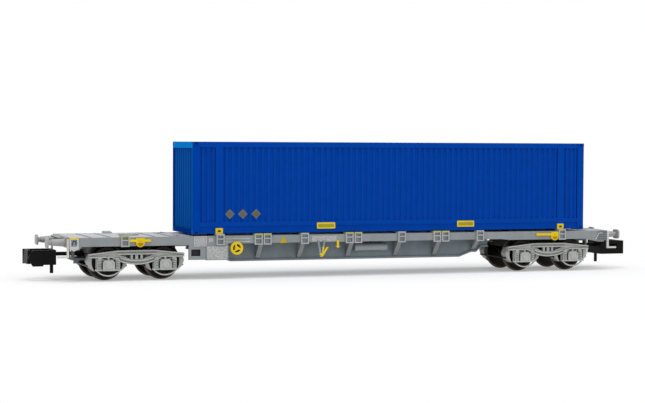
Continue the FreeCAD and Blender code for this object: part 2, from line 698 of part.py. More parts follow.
def outriggers():
    """Tapered plates from girder to sill, with a flange on the slope and a cap between top flanges."""
    made = []
    tip = cap_bottom - c.outrigger_tip
    for number, x in enumerate(bearer_places(), start=1):
        root_height = haunch_floor if abs(float(x)) > float(c.belly_length) / 2 else belly_floor
        arm = body(f"outrigger_{number}")
        taper = [
            (0 - web_inside, cap_bottom),
            (0 - web_inside, tip),
            (0 - girder_outside, root_height),
            (0 - girder_outside, cap_bottom),
        ]
        slab(arm, f"outrigger_plate_{number}", "YZ", taper, 0 - c.bearer_wall / 2, c.bearer_wall / 2)
        edge = [
            (0 - web_inside, tip),
            (0 - girder_outside, root_height),
            (0 - girder_outside, root_height + c.outrigger_edge_depth),
            (0 - web_inside, tip + c.outrigger_edge_depth),
        ]
        slab(arm, f"outrigger_edge_{number}", "YZ", edge, 0 - c.outrigger_edge / 2, c.outrigger_edge / 2)
        cap = [
            (0 - flange_inside, cap_bottom),
            (0 - girder_flange_outside, cap_bottom),
            (0 - girder_flange_outside, c.frame_top),
            (0 - flange_inside, c.frame_top),
        ]
        slab(arm, f"outrigger_cap_{number}", "YZ", cap, 0 - c.bearer_cap / 2, c.bearer_cap / 2)
        made.append(place(arm, x))
    return gather("outriggers_near", made)


def cross_bearers():
    """Plates between the two girders, each with a cap between their top flanges."""
    made = []
    for number, x in enumerate(bearer_places(), start=1):
        half = c.bearer_wall / 2
        plate = box(
            f"bearer_plate_{number}",
            (x - half, x + half),
            (0 - girder_inside, girder_inside),
            (haunch_floor, cap_bottom),
        )
        cap = box(
            f"bearer_cap_{number}",
            (x - c.bearer_cap / 2, x + c.bearer_cap / 2),
            (0 - girder_flange_inside, girder_flange_inside),
            (cap_bottom, c.frame_top),
        )
        made.append(fuse(f"cross_bearer_{number}", plate, cap))
    return gather("cross_bearers", made)


def end_deck():
    """Flat deck between the sills, from the girders' ends to the headstock, on the left."""
    deck = body("end_deck_left")
    plate = [
        (0 - deck_end, 0 - flange_inside),
        (0 - girder_end, 0 - flange_inside),
        (0 - girder_end, flange_inside),
        (0 - deck_end, flange_inside),
    ]
    slab(deck, "deck_plate", "XY", plate, deck_bottom, c.frame_top)
    return deck


def bolster():
    """Block under the deck that rests over the bogie and takes the pivot screw."""
    block = box(
        "bolster_block",
        (0 - pivot_x - c.bolster_half_length, 0 - pivot_x + c.bolster_half_length),
        (0 - c.bolster_half_width, c.bolster_half_width),
        (c.beam_top + c.pivot_gap, deck_bottom),
    )
    hole = rod("bolster_hole", "z", c.pivot_radius, c.beam_top, screw_top, (0 - pivot_x, 0))
    return cut("bolster_left", block, hole)


def pivot_screw():
    """Screw that holds the bogie up against the bolster and lets it turn."""
    head_top = c.beam_bottom - c.pivot_gap
    shank = rod("pivot_shank", "z", c.pivot_radius, head_top, screw_top, (0 - pivot_x, 0))
    head_bottom_z = head_top - c.pivot_head_thickness
    head = rod("pivot_head", "z", c.pivot_head, head_bottom_z, head_top, (0 - pivot_x, 0))
    return fuse("pivot_screw_left", shank, head)


def headstock():
    """Beam across the end of the frame, on the left."""
    bottom = c.frame_top - c.headstock_depth
    beam = body("headstock_left")
    face = [
        (0 - sill_face, bottom),
        (sill_face, bottom),
        (sill_face, c.frame_top),
        (0 - sill_face, c.frame_top),
    ]
    slab(beam, "headstock_plate", "YZ", face, 0 - frame_end, 0 - deck_end)
    return beam


def buffer_head(name, y, outer, inner):
    """Flat oblong head with cut corners."""
    head = body(name)
    z = c.buffer_height
    half = c.buffer_head_half
    tall = c.buffer_head
    corner = c.buffer_head_corner
    face = [
        (y - half + corner, z - tall),
        (y + half - corner, z - tall),
        (y + half, z - tall + corner),
        (y + half, z + tall - corner),
        (y + half - corner, z + tall),
        (y - half + corner, z + tall),
        (y - half, z + tall - corner),
        (y - half, z - tall + corner),
    ]
    slab(head, name + "_plate", "YZ", face, outer, inner)
    return head


def buffers():
    """Base plate, tapered sleeve, plunger and head of both buffers on the left."""
    made = []
    reach = c.length_over_buffers / 2
    back = c.buffer_head_thickness - reach
    foot_x = 0 - frame_end - c.buffer_foot_thickness
    sleeve_x = 0 - frame_end - c.buffer_sleeve_length
    foot_z = (c.buffer_height - c.buffer_foot, c.buffer_height + c.buffer_foot)
    for side, y in (("near", 0 - c.buffer_spacing / 2), ("far", c.buffer_spacing / 2)):
        spot = (y, c.buffer_height)
        foot_y = (y - c.buffer_foot, y + c.buffer_foot)
        foot = box(f"buffer_foot_{side}", (foot_x, 0 - frame_end), foot_y, foot_z)
        ends = (c.buffer_sleeve, c.buffer_sleeve_root)
        sleeve = cone(f"buffer_sleeve_{side}", *ends, sleeve_x, 0 - frame_end, spot)
        plunger = rod(f"buffer_plunger_{side}", "x", c.buffer_plunger, back, sleeve_x, spot)
        head = buffer_head(f"buffer_head_{side}", y, 0 - reach, back)
        made.append(fuse(f"buffer_{side}", foot, sleeve, plunger, head))
    return gather("buffers_left", made)


# ---------------------------------------------------------------- bogies

def bogie_frame():
    """Centre beam over the axles, transom between the side frames and the coupling box, left bogie."""
    middle = 0 - pivot_x
    outer = middle - c.box_end
    inner = middle - c.box_start
    across = (0 - c.box_half_width, c.box_half_width)
    hollow = (box_bottom + c.box_floor, box_top - c.box_floor)
    beam = body("bogie_beam")
    plan = [
        (0 - c.beam_half_length, 0 - c.beam_end_half_width),
        (0 - c.beam_shoulder, 0 - c.beam_half_width),
        (c.beam_shoulder, 0 - c.beam_half_width),
        (c.beam_half_length, 0 - c.beam_end_half_width),
        (c.beam_half_length, c.beam_end_half_width),
        (c.beam_shoulder, c.beam_half_width),
        (0 - c.beam_shoulder, c.beam_half_width),
        (0 - c.beam_half_length, c.beam_end_half_width),
    ]
    slab(beam, "beam_plan", "XY", plan, c.beam_bottom, c.beam_top)
    place(beam, middle)
    transom = box(
        "bogie_transom",
        (middle - c.transom_half, middle + c.transom_half),
        (0 - c.side_frame_inside, c.side_frame_inside),
        (c.beam_bottom, c.transom_top),
    )
    case = box("coupling_box", (outer, inner), across, (box_bottom, box_top))
    lug = box(
        "coupling_box_lug",
        (outer + c.box_wall, outer + c.box_wall + c.box_lug_length),
        (0 - c.box_half_width, c.box_wall - c.box_half_width),
        (box_bottom - c.box_lug, box_bottom),
    )
    side = c.box_half_width - c.box_wall
    cavity = box("coupling_cavity", (outer + c.box_wall, inner - c.box_wall), (0 - side, side), hollow)
    window = box("coupling_window", (outer + c.window_margin, inner - c.window_margin), across, hollow)
    gape = (0 - c.mouth_half_width, c.mouth_half_width)
    mouth = box("coupling_mouth", (outer, outer + c.box_wall), gape, hollow)
    hole_radius = c.pivot_radius + c.pivot_clearance
    hole = rod("bogie_pivot_hole", "z", hole_radius, c.beam_bottom, c.beam_top, (middle, 0))
    whole = fuse("bogie_frame_blank", beam, transom, case, lug)
    return cut("bogie_left_frame", whole, cavity, window, mouth, hole)


def belly_curve():
    """Radius of the side frame's belly, and its height where it meets the axle guards."""
    sag = c.side_frame_end_bottom - c.side_frame_belly
    curve = (c.belly_reach * c.belly_reach + sag * sag) / (sag * 2)
    guard_in = axle_x - c.guard_half_width
    return curve, c.side_frame_belly + curve - root(curve * curve - guard_in * guard_in)


def arc_rib(frame, name, reach, ends, curve, width, low, high):
    """A curved rib that sags between two points at the same height."""
    band = [
        (0 - reach, ends, curve),
        (reach, ends),
        (reach, ends + width, 0 - curve),
        (0 - reach, ends + width),
    ]
    slab(frame, name, "XZ", band, low, high)


def side_plate(frame, back, face, curve, meet):
    """The plate itself: arms, crown, belly and axle guards in one outline."""
    guard_in = axle_x - c.guard_half_width
    guard_out = axle_x + c.guard_half_width
    half = c.side_frame_length / 2
    right = [
        (guard_in, c.guard_bottom),
        (guard_out, c.guard_bottom),
        (guard_out, c.side_frame_end_bottom),
        (half, c.side_frame_end_bottom),
        (half, c.side_frame_end_top),
        (c.side_frame_crown_half, c.side_frame_crown),
    ]
    left = [(0 - u, v) for u, v in reversed(right)]
    belly = [(0 - guard_in, meet, curve), (guard_in, meet)]
    slab(frame, "side_plate", "XZ", belly + right + left, face, back)


def side_ribs(frame, face, curve):
    """Raised edges: along the top, under the arms, round the belly and over the holes."""
    ribbed = face - c.rib_depth
    half = c.side_frame_length / 2
    top = both_ways(
        [
            (c.side_frame_crown_half, c.side_frame_crown - c.rib_width),
            (half, c.side_frame_end_top - c.rib_width),
            (half, c.side_frame_end_top),
            (c.side_frame_crown_half, c.side_frame_crown),
        ]
    )
    slab(frame, "top_rib", "XZ", top, ribbed, face)
    arm_floor = c.side_frame_end_bottom
    arc_rib(frame, "belly_rib", c.belly_reach, arm_floor, curve, c.rib_width, ribbed, face)
    sag = c.inner_rib_rise
    rise = c.side_frame_belly + sag + curve - root(curve * curve - c.inner_rib_reach * c.inner_rib_reach)
    arc_rib(frame, "inner_rib", c.inner_rib_reach, rise, curve, c.rib_width, ribbed, face)
    for label, start, end in (("left", 0 - half, 0 - c.belly_reach), ("right", c.belly_reach, half)):
        arm = rectangle(start, end, arm_floor, arm_floor + c.rib_width)
        slab(frame, f"arm_rib_{label}", "XZ", arm, ribbed, face)
    over = rectangle(0 - c.window_top_reach, c.window_top_reach, c.window_top, c.window_top + c.rib_width)
    slab(frame, "window_rib", "XZ", over, ribbed, face)


def side_windows(frame, back, face):
    """A triangular hole and a slot on each side of the bogie's middle, right through."""
    floor_height = c.side_frame_belly + c.window_floor
    for label, way in (("left", -1), ("right", 1)):
        triangle = [
            (c.window_inner * way, c.window_top),
            (c.window_outer * way, c.window_top),
            (c.window_inner * way, floor_height),
        ]
        opening(frame, f"side_window_{label}", "XZ", triangle, face - c.rib_depth, back)
        slot = rectangle(c.slot_inner * way, c.slot_outer * way, floor_height, c.window_top)
        opening(frame, f"side_slot_{label}", "XZ", slot, face - c.rib_depth, back)


def bogie_side():
    """Side frame: ribbed plate with a curved belly, lightening holes and two axle guards; left, near."""
    frame = body("side_frame_blank")
    back = 0 - c.side_frame_inside
    face = 0 - side_frame_face
    curve, meet = belly_curve()
    side_plate(frame, back, face, curve, meet)
    side_ribs(frame, face, curve)
    side_windows(frame, back, face)
    for end, x in (("left", 0 - axle_x), ("right", axle_x)):
        axle_guard(frame, end, x, face, back)
    return place(frame, 0 - pivot_x)


def axle_guard(frame, end, x, face, back):
    """Axle box under a strut, a spring block on each side, a keeper bar and a strap round the wheel."""
    centre = c.flange_radius - c.axle_box_drop
    half = c.axle_box_half
    box_bottom_z = centre - c.axle_box_half_height
    box_top_z = centre + c.axle_box_half_height
    corner = c.axle_box_corner
    box_face = [
        (x - half, box_bottom_z),
        (x + half, box_bottom_z),
        (x + half, box_top_z - corner),
        (x + half - corner, box_top_z),
        (x - half + corner, box_top_z),
        (x - half, box_top_z - corner),
    ]
    slab(frame, f"axle_box_{end}", "XZ", box_face, face - c.axle_box_depth, face)
    arm_floor = c.side_frame_end_bottom
    strut = rectangle(x - c.strut_half_width, x + c.strut_half_width, box_top_z, arm_floor + c.rib_width)
    slab(frame, f"strut_{end}", "XZ", strut, face - c.spring_depth, face)
    for label, way in (("left", -1), ("right", 1)):
        inner = x + way * (half + c.guide_gap)
        outer = inner + way * c.spring_width
        gap = rectangle(x + way * half, inner, c.guard_bottom + c.keeper_height, box_top_z)
        opening(frame, f"guide_gap_{end}_{label}", "XZ", gap, face, back)
        hole_start = x + way * c.strut_half_width * 2
        hole_end = x + way * c.strut_hole_reach
        hole = rectangle(hole_start, hole_end, arm_floor - c.strut_hole_height, arm_floor)
        opening(frame, f"strut_hole_{end}_{label}", "XZ", hole, face, back)
        cut_off = c.guard_corner
        spring = [
            (inner, c.guard_bottom),
            (outer - way * cut_off, c.guard_bottom),
            (outer, c.guard_bottom + cut_off),
            (outer, arm_floor - cut_off),
            (outer - way * cut_off, arm_floor),
            (inner, arm_floor),
        ]
        slab(frame, f"spring_block_{end}_{label}", "XZ", spring, face - c.spring_depth, face)
    reach = c.guard_half_width + c.keeper_overhang
    keeper = rectangle(x - reach, x + reach, c.guard_bottom, c.guard_bottom + c.keeper_height)
    slab(frame, f"keeper_{end}", "XZ", keeper, face - c.keeper_depth, face)
    sag = c.guard_bottom - c.strap_bottom
    reach = c.guard_half_width
    bend = (reach * reach + sag * sag) / (sag * 2)
    strap = [
        (x - reach, c.guard_bottom, bend),
        (x + reach, c.guard_bottom),
        (x + reach, c.guard_bottom + c.strap_width, 0 - bend),
        (x - reach, c.guard_bottom + c.strap_width),
    ]
    slab(frame, f"strap_{end}", "XZ", strap, face - c.rib_depth, face)


def bearing_holes(side):
    """The near left side frame with blind holes for the axle ends and round covers on its boxes."""
    tools = []
    covers = [side]
    depth = (0 - c.axle_tip - c.axle_end_gap, 0 - c.side_frame_inside)
    box_face = 0 - side_frame_face - c.axle_box_depth
    for number, x in enumerate((0 - pivot_x - axle_x, axle_x - pivot_x), start=1):
        tools.append(rod(f"bearing_hole_{number}", "y", bearing_radius, *depth, (x, c.flange_radius)))
        spot = (x, c.flange_radius - c.axle_box_drop)
        reach = (box_face - c.axle_cover_depth, box_face)
        covers.append(rod(f"box_cover_{number}", "y", c.axle_cover, *reach, spot, RIM))
    return cut("bogie_left_side_near", fuse("side_frame_covered", *covers), *tools)


def brake_gear():
    """Brake blocks with hollow faces on pointed hangers, both sides of each wheel, left bogie."""
    made = []
    inner = c.wheel_gap / 2 + c.flange_width + c.brake_gap / 2
    reach = c.tread_radius + c.brake_gap
    sides = (("near", 0 - c.side_frame_inside, 0 - inner), ("far", inner, c.side_frame_inside))
    for side, low, high in sides:
        for end, x in (("outer", 0 - pivot_x - axle_x), ("inner", axle_x - pivot_x)):
            room = rod(f"wheel_room_{side}_{end}", "y", reach, low, high, (x, c.flange_radius))
            for label, way in (("left", -1), ("right", 1)):
                name = f"brake_{side}_{end}_{label}"
                hanger = body(name + "_hanger")
                face = [
                    (x + way * c.brake_root, c.brake_toe_height),
                    (x + way * c.brake_toe_reach, c.brake_toe_height),
                    (x + way * c.brake_heel_reach, c.brake_heel_height),
                    (x + way * c.brake_tip_reach, c.brake_tip_height),
                    (x + way * c.brake_top_reach, c.brake_top),
                    (x + way * c.brake_root, c.brake_top),
                ]
                slab(hanger, name + "_plate", "XZ", face, low, high)
                made.append(cut(name, hanger, room))
    return gather("bogie_left_brakes", made)


def axle(name, x):
    """Axle with a thicker middle and journals at its ends."""
    shaft = body(name)
    seat = c.wheel_gap / 2 + c.wheel_width + c.axle_shoulder
    half = [
        (0 - c.axle_tip, 0),
        (c.axle_tip, 0),
        (c.axle_tip, c.journal_radius),
        (seat, c.journal_radius),
        (seat, c.axle_radius),
        (0 - seat, c.axle_radius),
        (0 - seat, c.journal_radius),
        (0 - c.axle_tip, c.journal_radius),
    ]
    spun(shaft, name + "_turned", half, c.flange_radius)
    return place(shaft, x)


def wheels(name, x):
    """Two wheels with flange, tapered tread, rim and set-back web."""
    made = []
    back = c.wheel_gap / 2
    face = back + c.wheel_width
    web = face - c.web_set_back
    rim = c.tread_radius - c.rim_depth
    for side, way in (("near", -1), ("far", 1)):
        wheel = body(f"{name}_{side}")
        section = [
            (way * back, c.axle_radius),
            (way * back, c.flange_radius - c.flange_bevel),
            (way * (back + c.flange_tip), c.flange_radius),
            (way * (back + c.flange_width), c.tread_radius),
            (way * face, c.tread_radius - c.tread_taper),
            (way * face, rim),
            (way * web, rim),
            (way * web, c.axle_radius),
        ]
        spun(wheel, f"{name}_{side}_turned", section, c.flange_radius)
        made.append(place(wheel, x))
    return gather(name, made)


# ---------------------------------------------------------------- couplings

def coupling():
    """Head with a pointed cheek and an open one, shank, diamond tail and release pin, left."""
    made = body("coupling_moulding")
    pivot = pivot_x + c.coupling_pivot
    half = c.coupling_half_width
    bar = c.coupling_wall
    front = 0 - c.coupling_reach
    back = 0 - c.coupling_back
    shank_low = c.coupling_height - c.shank_half
    shank_high = c.coupling_height + c.shank_half
    tail = [
        (0 - pivot - c.tail_half_length, c.coupling_height),
        (0 - pivot, c.coupling_height - c.tail_half_height),
        (0 - pivot + c.tail_half_length, c.coupling_height),
        (0 - pivot, c.coupling_height + c.tail_half_height),
    ]
    slab(made, "coupling_tail", "XZ", tail, 0 - c.tail_half_width, c.tail_half_width)
    shank = rectangle(back - c.shank_root, 0 - pivot, shank_low, shank_high)
    slab(made, "coupling_shank", "XZ", shank, 0 - c.shank_half_width, c.shank_half_width)
    point = (front, (head_bottom + head_top) / 2)
    cheek = [
        (front + c.cheek_nose, head_bottom),
        (back, head_bottom),
        (back, head_top),
        (front + c.cheek_nose, head_top),
        point,
    ]
    slab(made, "solid_cheek", "XZ", cheek, 0 - half, bar - half)
    pad = [
        (front + c.cheek_nose, head_bottom - c.cheek_heel),
        (front + c.cheek_pad_end, head_bottom - c.cheek_heel),
        (front + c.cheek_pad_end, head_top),
        (front + c.cheek_nose, head_top),
        point,
    ]
    slab(made, "cheek_raised_pad", "XZ", pad, 0 - half - c.cheek_pad, c.cheek_pad - half)
    open_cheek = rectangle(front, back, head_bottom, head_top)
    slab(made, "open_cheek", "XZ", open_cheek, half - bar, half)
    front_low = head_bottom + c.front_bar_lift
    front_bar = [
        (front, front_low),
        (front + bar, front_low),
        (front + bar, head_top),
        (front + c.front_bar_lean, head_top),
    ]
    slab(made, "front_bar", "XZ", front_bar, bar - half, half)
    back_bar = rectangle(back - bar, back, head_bottom, head_top)
    slab(made, "back_bar", "XZ", back_bar, 0 - half, half)
    window = rectangle(
        front + c.cheek_window_start,
        front + c.cheek_window_end,
        head_bottom + c.cheek_window_floor,
        head_top - bar,
    )
    opening(made, "cheek_window", "XZ", window, half - bar, half)
    pin_top = head_bottom + c.release_pin_root
    spot = (back - bar / 2, 0)
    pin = rod("release_pin", "z", c.release_pin_radius, c.release_pin_bottom, pin_top, spot, THIN)
    return fuse("coupling_left", made, pin)


# ---------------------------------------------------------------- container

# A rib's outline: shares of the pitch, and of the depth.
RIB = ((0.0, 0), (0.3, 0), (0.5, 1), (0.8, 1))


def ribbed_sheet(name, axes, run, height, outside, wall, depth, pitch):
    """Flat-backed sheet with ribs. axes names the ways of its run, its outer face and its ribs."""
    first, last = (float(end) for end in run)
    count = max(1, round((last - first) / float(pitch)))
    step = (last - first) / count
    way = math.copysign(1, float(outside))
    valley = float(outside) - way * float(depth)
    back = valley - way * float(wall)
    points = []
    for number in range(count):
        for share, rise in RIB:
            points.append((first + (number + share) * step, valley + way * rise * float(depth)))
    points += [(last, valley), (last, back), (first, back)]
    spots = [dict(zip(axes, (along, level, float(height[0])))) for along, level in points]
    corners = [Vector(spot["x"], spot["y"], spot["z"]) for spot in spots]
    reach = dict(zip(axes, (0, 0, float(height[1]) - float(height[0]))))
    made = doc.addObject("Part::Feature", name)
    outline_face = Part.Face(Part.makePolygon(corners + corners[:1]))
    made.Shape = outline_face.extrude(Vector(reach["x"], reach["y"], reach["z"]))
    return made


def container_side():
    """Corrugated side between two rails, with the 40 ft posts; near side."""
    left = c.container_left + c.corner_post
    right = container_right - c.corner_post
    across = (0 - container_face, 0 - container_inside)
    seat = c.container_seat
    lower = (seat + c.rail_lift, seat + c.bottom_rail)
    upper = (container_top - c.top_rail, container_top)
    half = c.fitting_width / 2
    left_post = (c.fitting_left - half, c.fitting_left + half)
    right_post = (fitting_right - half, fitting_right + half)
    pieces = [box("top_rail_near", (left, right), across, upper)]
    for number, x in enumerate((left_post, right_post), start=1):
        pieces.append(box(f"side_post_{number}", x, across, (seat + c.fitting_height, upper[0])))
    grooves = []
    groove_y = (0 - container_face, 0 - container_face + c.rail_groove_depth)
    groove_z = (seat + c.rail_groove_start, seat + c.rail_groove_end)
    face = 0 - container_face + c.sheet_set_back
    bays = ((left, left_post[0]), (left_post[1], right_post[0]), (right_post[1], right))
    for number, x in enumerate(bays, start=1):
        pieces.append(box(f"bottom_rail_{number}", x, across, lower))
        grooves.append(box(f"rail_groove_{number}", x, groove_y, groove_z))
        height = (lower[1], upper[0])
        ribs = (c.container_wall, c.corrugation_depth, c.corrugation_pitch)
        pieces.append(ribbed_sheet(f"side_sheet_{number}", "xyz", x, height, face, *ribs))
    return cut("container_side_near", fuse("side_blank", *pieces), *grooves)


def portal(name, start, way):
    """Two corner posts, header and sill at one end; way points into the container."""
    x = sorted((start, start + way * c.corner_post), key=float)
    post_z = (c.container_seat + c.casting_height, container_top - c.casting_height)
    middle = (0 - container_inside, container_inside)
    return [
        box(f"{name}_post_near", x, (0 - container_face, middle[0]), post_z),
        box(f"{name}_post_far", x, (middle[1], container_face), post_z),
        box(f"{name}_header", x, middle, (portal_top, container_top)),
        box(f"{name}_sill", x, middle, (c.container_seat, portal_bottom)),
    ]


def front_wall():
    """Left end of the container: portal with a panel of broad upright ribs."""
    across = (0 - container_inside, container_inside)
    ribs = (c.container_wall, c.front_rib_depth, c.front_rib_pitch)
    face = c.container_left + c.sheet_set_back
    panel = ribbed_sheet("front_sheet", "yxz", across, (portal_bottom, portal_top), face, *ribs)
    return fuse("container_front_wall", *portal("front", c.container_left, 1), panel)


def door_frame():
    """Right end of the container: portal with an open middle."""
    return fuse("container_door_frame", *portal("rear", container_right, -1))


def doors():
    """Two closed leaves that fill the rear portal, each with sunk panels and hinges."""
    made = []
    face = container_right - c.door_recess
    panel = (portal_top - portal_bottom - c.door_rail * (DOOR_PANELS + 1)) / DOOR_PANELS
    leaves = (
        ("near", 0 - container_inside, 0 - c.door_gap, 0 - container_inside),
        ("far", c.door_gap, container_inside, container_inside - c.hinge_reach),
    )
    for side, low, high, hinge in leaves:
        leaf = box(f"door_sheet_{side}", (face - c.door_wall, face), (low, high), (portal_bottom, portal_top))
        hollows = []
        hinges = [leaf]
        for row in range(DOOR_PANELS):
            bottom = portal_bottom + c.door_rail * (row + 1) + panel * row
            across = (low + c.door_rail, high - c.door_rail)
            depth = (face - c.door_hollow, face)
            hollows.append(box(f"door_hollow_{side}_{row + 1}", depth, across, (bottom, bottom + panel)))
            middle = bottom + (panel - c.hinge_height) / 2
            hinge_y = (hinge, hinge + c.hinge_reach)
            hinge_z = (middle, middle + c.hinge_height)
            hinges.append(box(f"door_hinge_{side}_{row + 1}", (face, face + c.hinge_depth), hinge_y, hinge_z))
        made.append(cut(f"door_{side}", fuse(f"door_blank_{side}", *hinges), *hollows))
    return gather("container_doors", made)


def lock_rods():
    """Four upright lock rods in front of the doors, each with its handle."""
    made = []
    x = container_right - c.door_recess + c.lock_rod
    handle_bottom = c.container_seat + c.lock_handle_start
    handle_z = (handle_bottom, handle_bottom + c.lock_handle_height)
    reach = c.lock_handle_length
    places = (
        (0 - c.lock_rod_outer, 0, reach),
        (0 - c.lock_rod_inner, 0, reach),
        (c.lock_rod_inner, reach, 0),
        (c.lock_rod_outer, reach, 0),
    )
    for number, (y, before, after) in enumerate(places, start=1):
        spot = (x, y)
        bar = rod(f"lock_bar_{number}", "z", c.lock_rod, portal_bottom, portal_top, spot, THIN)
        handle = box(f"lock_handle_{number}", (x, x + c.lock_rod), (y - before, y + after), handle_z)
        made.append(fuse(f"lock_rod_{number}", bar, handle))
    return gather("container_lock_rods", made)


def roof():
    """Ribbed roof sheet between the top rails."""
    run = (c.container_left + c.corner_post, container_right - c.corner_post)
    across = (0 - container_inside, container_inside)
    ribs = (c.roof_wall, c.roof_rib_depth, c.roof_rib_pitch)
    return ribbed_sheet("container_roof", "xzy", run, across, container_top - c.sheet_set_back, *ribs)


def floor():
    """Floor on cross members between the bottom rails."""
    across = (0 - container_inside, container_inside)
    left = c.container_left + c.corner_post
    right = container_right - c.corner_post
    bottom = c.container_seat + c.floor_lift
    top = bottom + c.floor_member_depth
    pieces = [box("floor_plate", (left, right), across, (top, top + c.floor_wall))]
    spacing = (right - left - c.floor_member) / (FLOOR_MEMBERS - 1)
    for number in range(FLOOR_MEMBERS):
        start = left + spacing * number
        x = (start, start + c.floor_member)
        pieces.append(box(f"floor_member_{number + 1}", x, across, (bottom, top)))
    return fuse("container_floor", *pieces)


def casting(name, x, z, side):
    """A container fitting's block, and the opening in its outer face."""
    face = container_face + c.casting_relief
    back = face - c.casting_eye_depth
    y = (0 - face, 0 - container_inside) if side == "near" else (container_inside, face)
    eye_y = (0 - face, 0 - back) if side == "near" else (back, face)
    across = (x[0] + x[1]) / 2
    up = (z[0] + z[1]) / 2
    eye_x = (across - c.casting_eye, across + c.casting_eye)
    eye_z = (up - c.casting_eye_rise, up + c.casting_eye_rise)
    return box(name + "_block", x, y, z), box(name + "_eye", eye_x, eye_y, eye_z)


def corner_castings():
    """Castings at the eight corners."""
    made = []
    levels = (
        ("low", (c.container_seat, c.container_seat + c.casting_height)),
        ("high", (container_top - c.casting_height, container_top)),
    )
    ends = (
        ("left", (c.container_left, c.container_left + c.corner_post)),
        ("right", (container_right - c.corner_post, container_right)),
    )
    for level, z in levels:
        for end, x in ends:
            for side in ("near", "far"):
                label = f"corner_{level}_{end}_{side}"
                made.append(cut(label, *casting(label, x, z, side)))
    return gather("container_corner_castings", made)


def fittings():
    """The yellow lower fittings of the 40 ft posts, which stand on the wagon's spigots."""
    made = []
    seat = c.container_seat
    half = c.fitting_width / 2
    socket_top = seat + c.spigot_reach + c.spigot_head_room
    for end, x in (("left", c.fitting_left), ("right", fitting_right)):
        for side, y in (("near", 0 - c.fitting_middle), ("far", c.fitting_middle)):
            label = f"fitting_{end}_{side}"
            block, eye = casting(label, (x - half, x + half), (seat, seat + c.fitting_height), side)
            socket = rod(label + "_socket", "z", c.spigot_hole, seat, socket_top, (x, y), THIN)
            made.append(cut(label, block, eye, socket))
    return gather("container_fittings", made)


# ---------------------------------------------------------------- fittings on the frame

def bracket(name, x):
    """Open staple on the near sill with a pin across it, and a plate over the sill for a spigot."""
    half = c.bracket_width / 2
    inner = half - c.bracket_bar
    y = (0 - sill_face - c.bracket_proud, 0 - sill_face)
    blank = box(name + "_blank", (x - half, x + half), y, (c.bracket_bottom, c.bracket_top))
    hollow_z = (c.bracket_bottom + c.bracket_bar, c.bracket_top - c.bracket_bar)
    hollow = box(name + "_hollow", (x - inner, x + inner), y, hollow_z)
    staple = cut(name + "_staple", blank, hollow)
    spot = (y[0] + c.bracket_proud / 2, c.bracket_pin_height)
    pin = rod(name + "_pin", "x", c.bracket_pin, x - half, x + half, spot, THIN)
    plate_y = (0 - sill_face - c.bracket_proud / 2, 0 - c.fitting_middle + c.spigot_seat)
    plate = box(name + "_plate", (x - half, x + half), plate_y, (c.frame_top, c.bracket_plate))
    return fuse(name, staple, pin, plate)


def hook_box():
    """Pointed box with a sunk middle on the near sill's left end."""
    block = body("hook_box")
    left = 0 - c.hook_box_left
    right = 0 - c.hook_box_right
    outside = 0 - sill_face - c.hook_box_proud
    face = [
        (left, c.hook_box_shoulder),
        ((left + right) / 2, c.hook_box_bottom),
        (right, c.hook_box_shoulder),
        (right, c.hook_box_top),
        (left, c.hook_box_top),
    ]
    slab(block, "hook_box_plate", "XZ", face, outside, 0 - sill_face)
    rim = c.hook_box_rim
    sunk = rectangle(left + rim, right - rim, c.hook_box_middle, c.frame_top - rim)
    opening(block, "hook_box_sunk", "XZ", sunk, outside, outside + c.hook_box_depth)
    return block


def spigot_brackets():
    """Brackets along the near sill: singles, and pairs side by side."""
    made = []
    pair = c.bracket_width / 2 + c.bracket_pair
    rows = (
        ("middle", 0, (-1, 1)),
        ("inner", c.bearer_pitch_inner, (0,)),
        ("middle_pair", c.bearer_pitch_middle, (-1, 1)),
        ("outer", 0 - c.fitting_left, (0,)),
        ("end", fitting_right, (0,)),
    )
    for label, place_x, shifts in rows:
        for way in (-1, 1):
            if label == "middle" and way < 0:
                continue
            for shift in shifts:
                x = place_x * way + pair * shift
                made.append(bracket(f"bracket_{label}_{way + 1}_{shift + 1}", x))
    made.append(hook_box())
    return gather("spigot_brackets_near", made)


def spigots():
    """Raised spigots under the container's four 40 ft fittings."""
    made = []
    for end, x in (("left", c.fitting_left), ("right", fitting_right)):
        for side, y in (("near", 0 - c.fitting_middle), ("far", c.fitting_middle)):
            top = c.container_seat + c.spigot_reach
            name = f"spigot_{end}_{side}"
            made.append(rod(name, "z", c.spigot_radius, c.bracket_plate, top, (x, y), THIN))
    return gather("container_spigots", made)


def side_panel():
    """Plate that hangs from the near sill, left, with a sunk square and a raised blank data plate."""
    panel = body("side_panel_near")
    back = 0 - web_inside
    start = 0 - c.panel_start
    slope_start = girder_end + c.sill_step_start
    slope = (c.sill_over_bogie - c.sill_depth) / (c.sill_step_end - c.sill_step_start)
    end_top = sill_bottom - (c.panel_end - slope_start) * slope
    face = [
        (0 - c.panel_end, c.panel_bottom),
        (start, c.panel_bottom),
        (start, sill_bottom),
        (0 - slope_start, sill_bottom),
        (0 - c.panel_end, end_top),
    ]
    slab(panel, "panel_plate", "XZ", face, 0 - sill_face, back)
    low = c.panel_bottom - c.data_plate_overhang
    raised = rectangle(start - c.data_plate_length, start, low, sill_bottom - c.data_plate_drop)
    slab(panel, "data_plate", "XZ", raised, 0 - sill_face - c.data_plate_proud, back)
    arm_z = (c.handwheel_height - c.handwheel_arm, c.handwheel_height + c.handwheel_arm)
    arm = rectangle(start, 0 - c.handwheel_place + c.handwheel_arm, *arm_z)
    slab(panel, "handwheel_holder", "XZ", arm, c.handwheel_arm_set_back - sill_face, back)
    low = c.panel_bottom + c.panel_hole_lift
    hole_left = c.panel_hole_margin - c.panel_end
    hole = rectangle(hole_left, hole_left + c.panel_hole, low, low + c.panel_hole_height)
    opening(panel, "panel_hole", "XZ", hole, 0 - sill_face, c.panel_hole_depth - sill_face)
    return panel


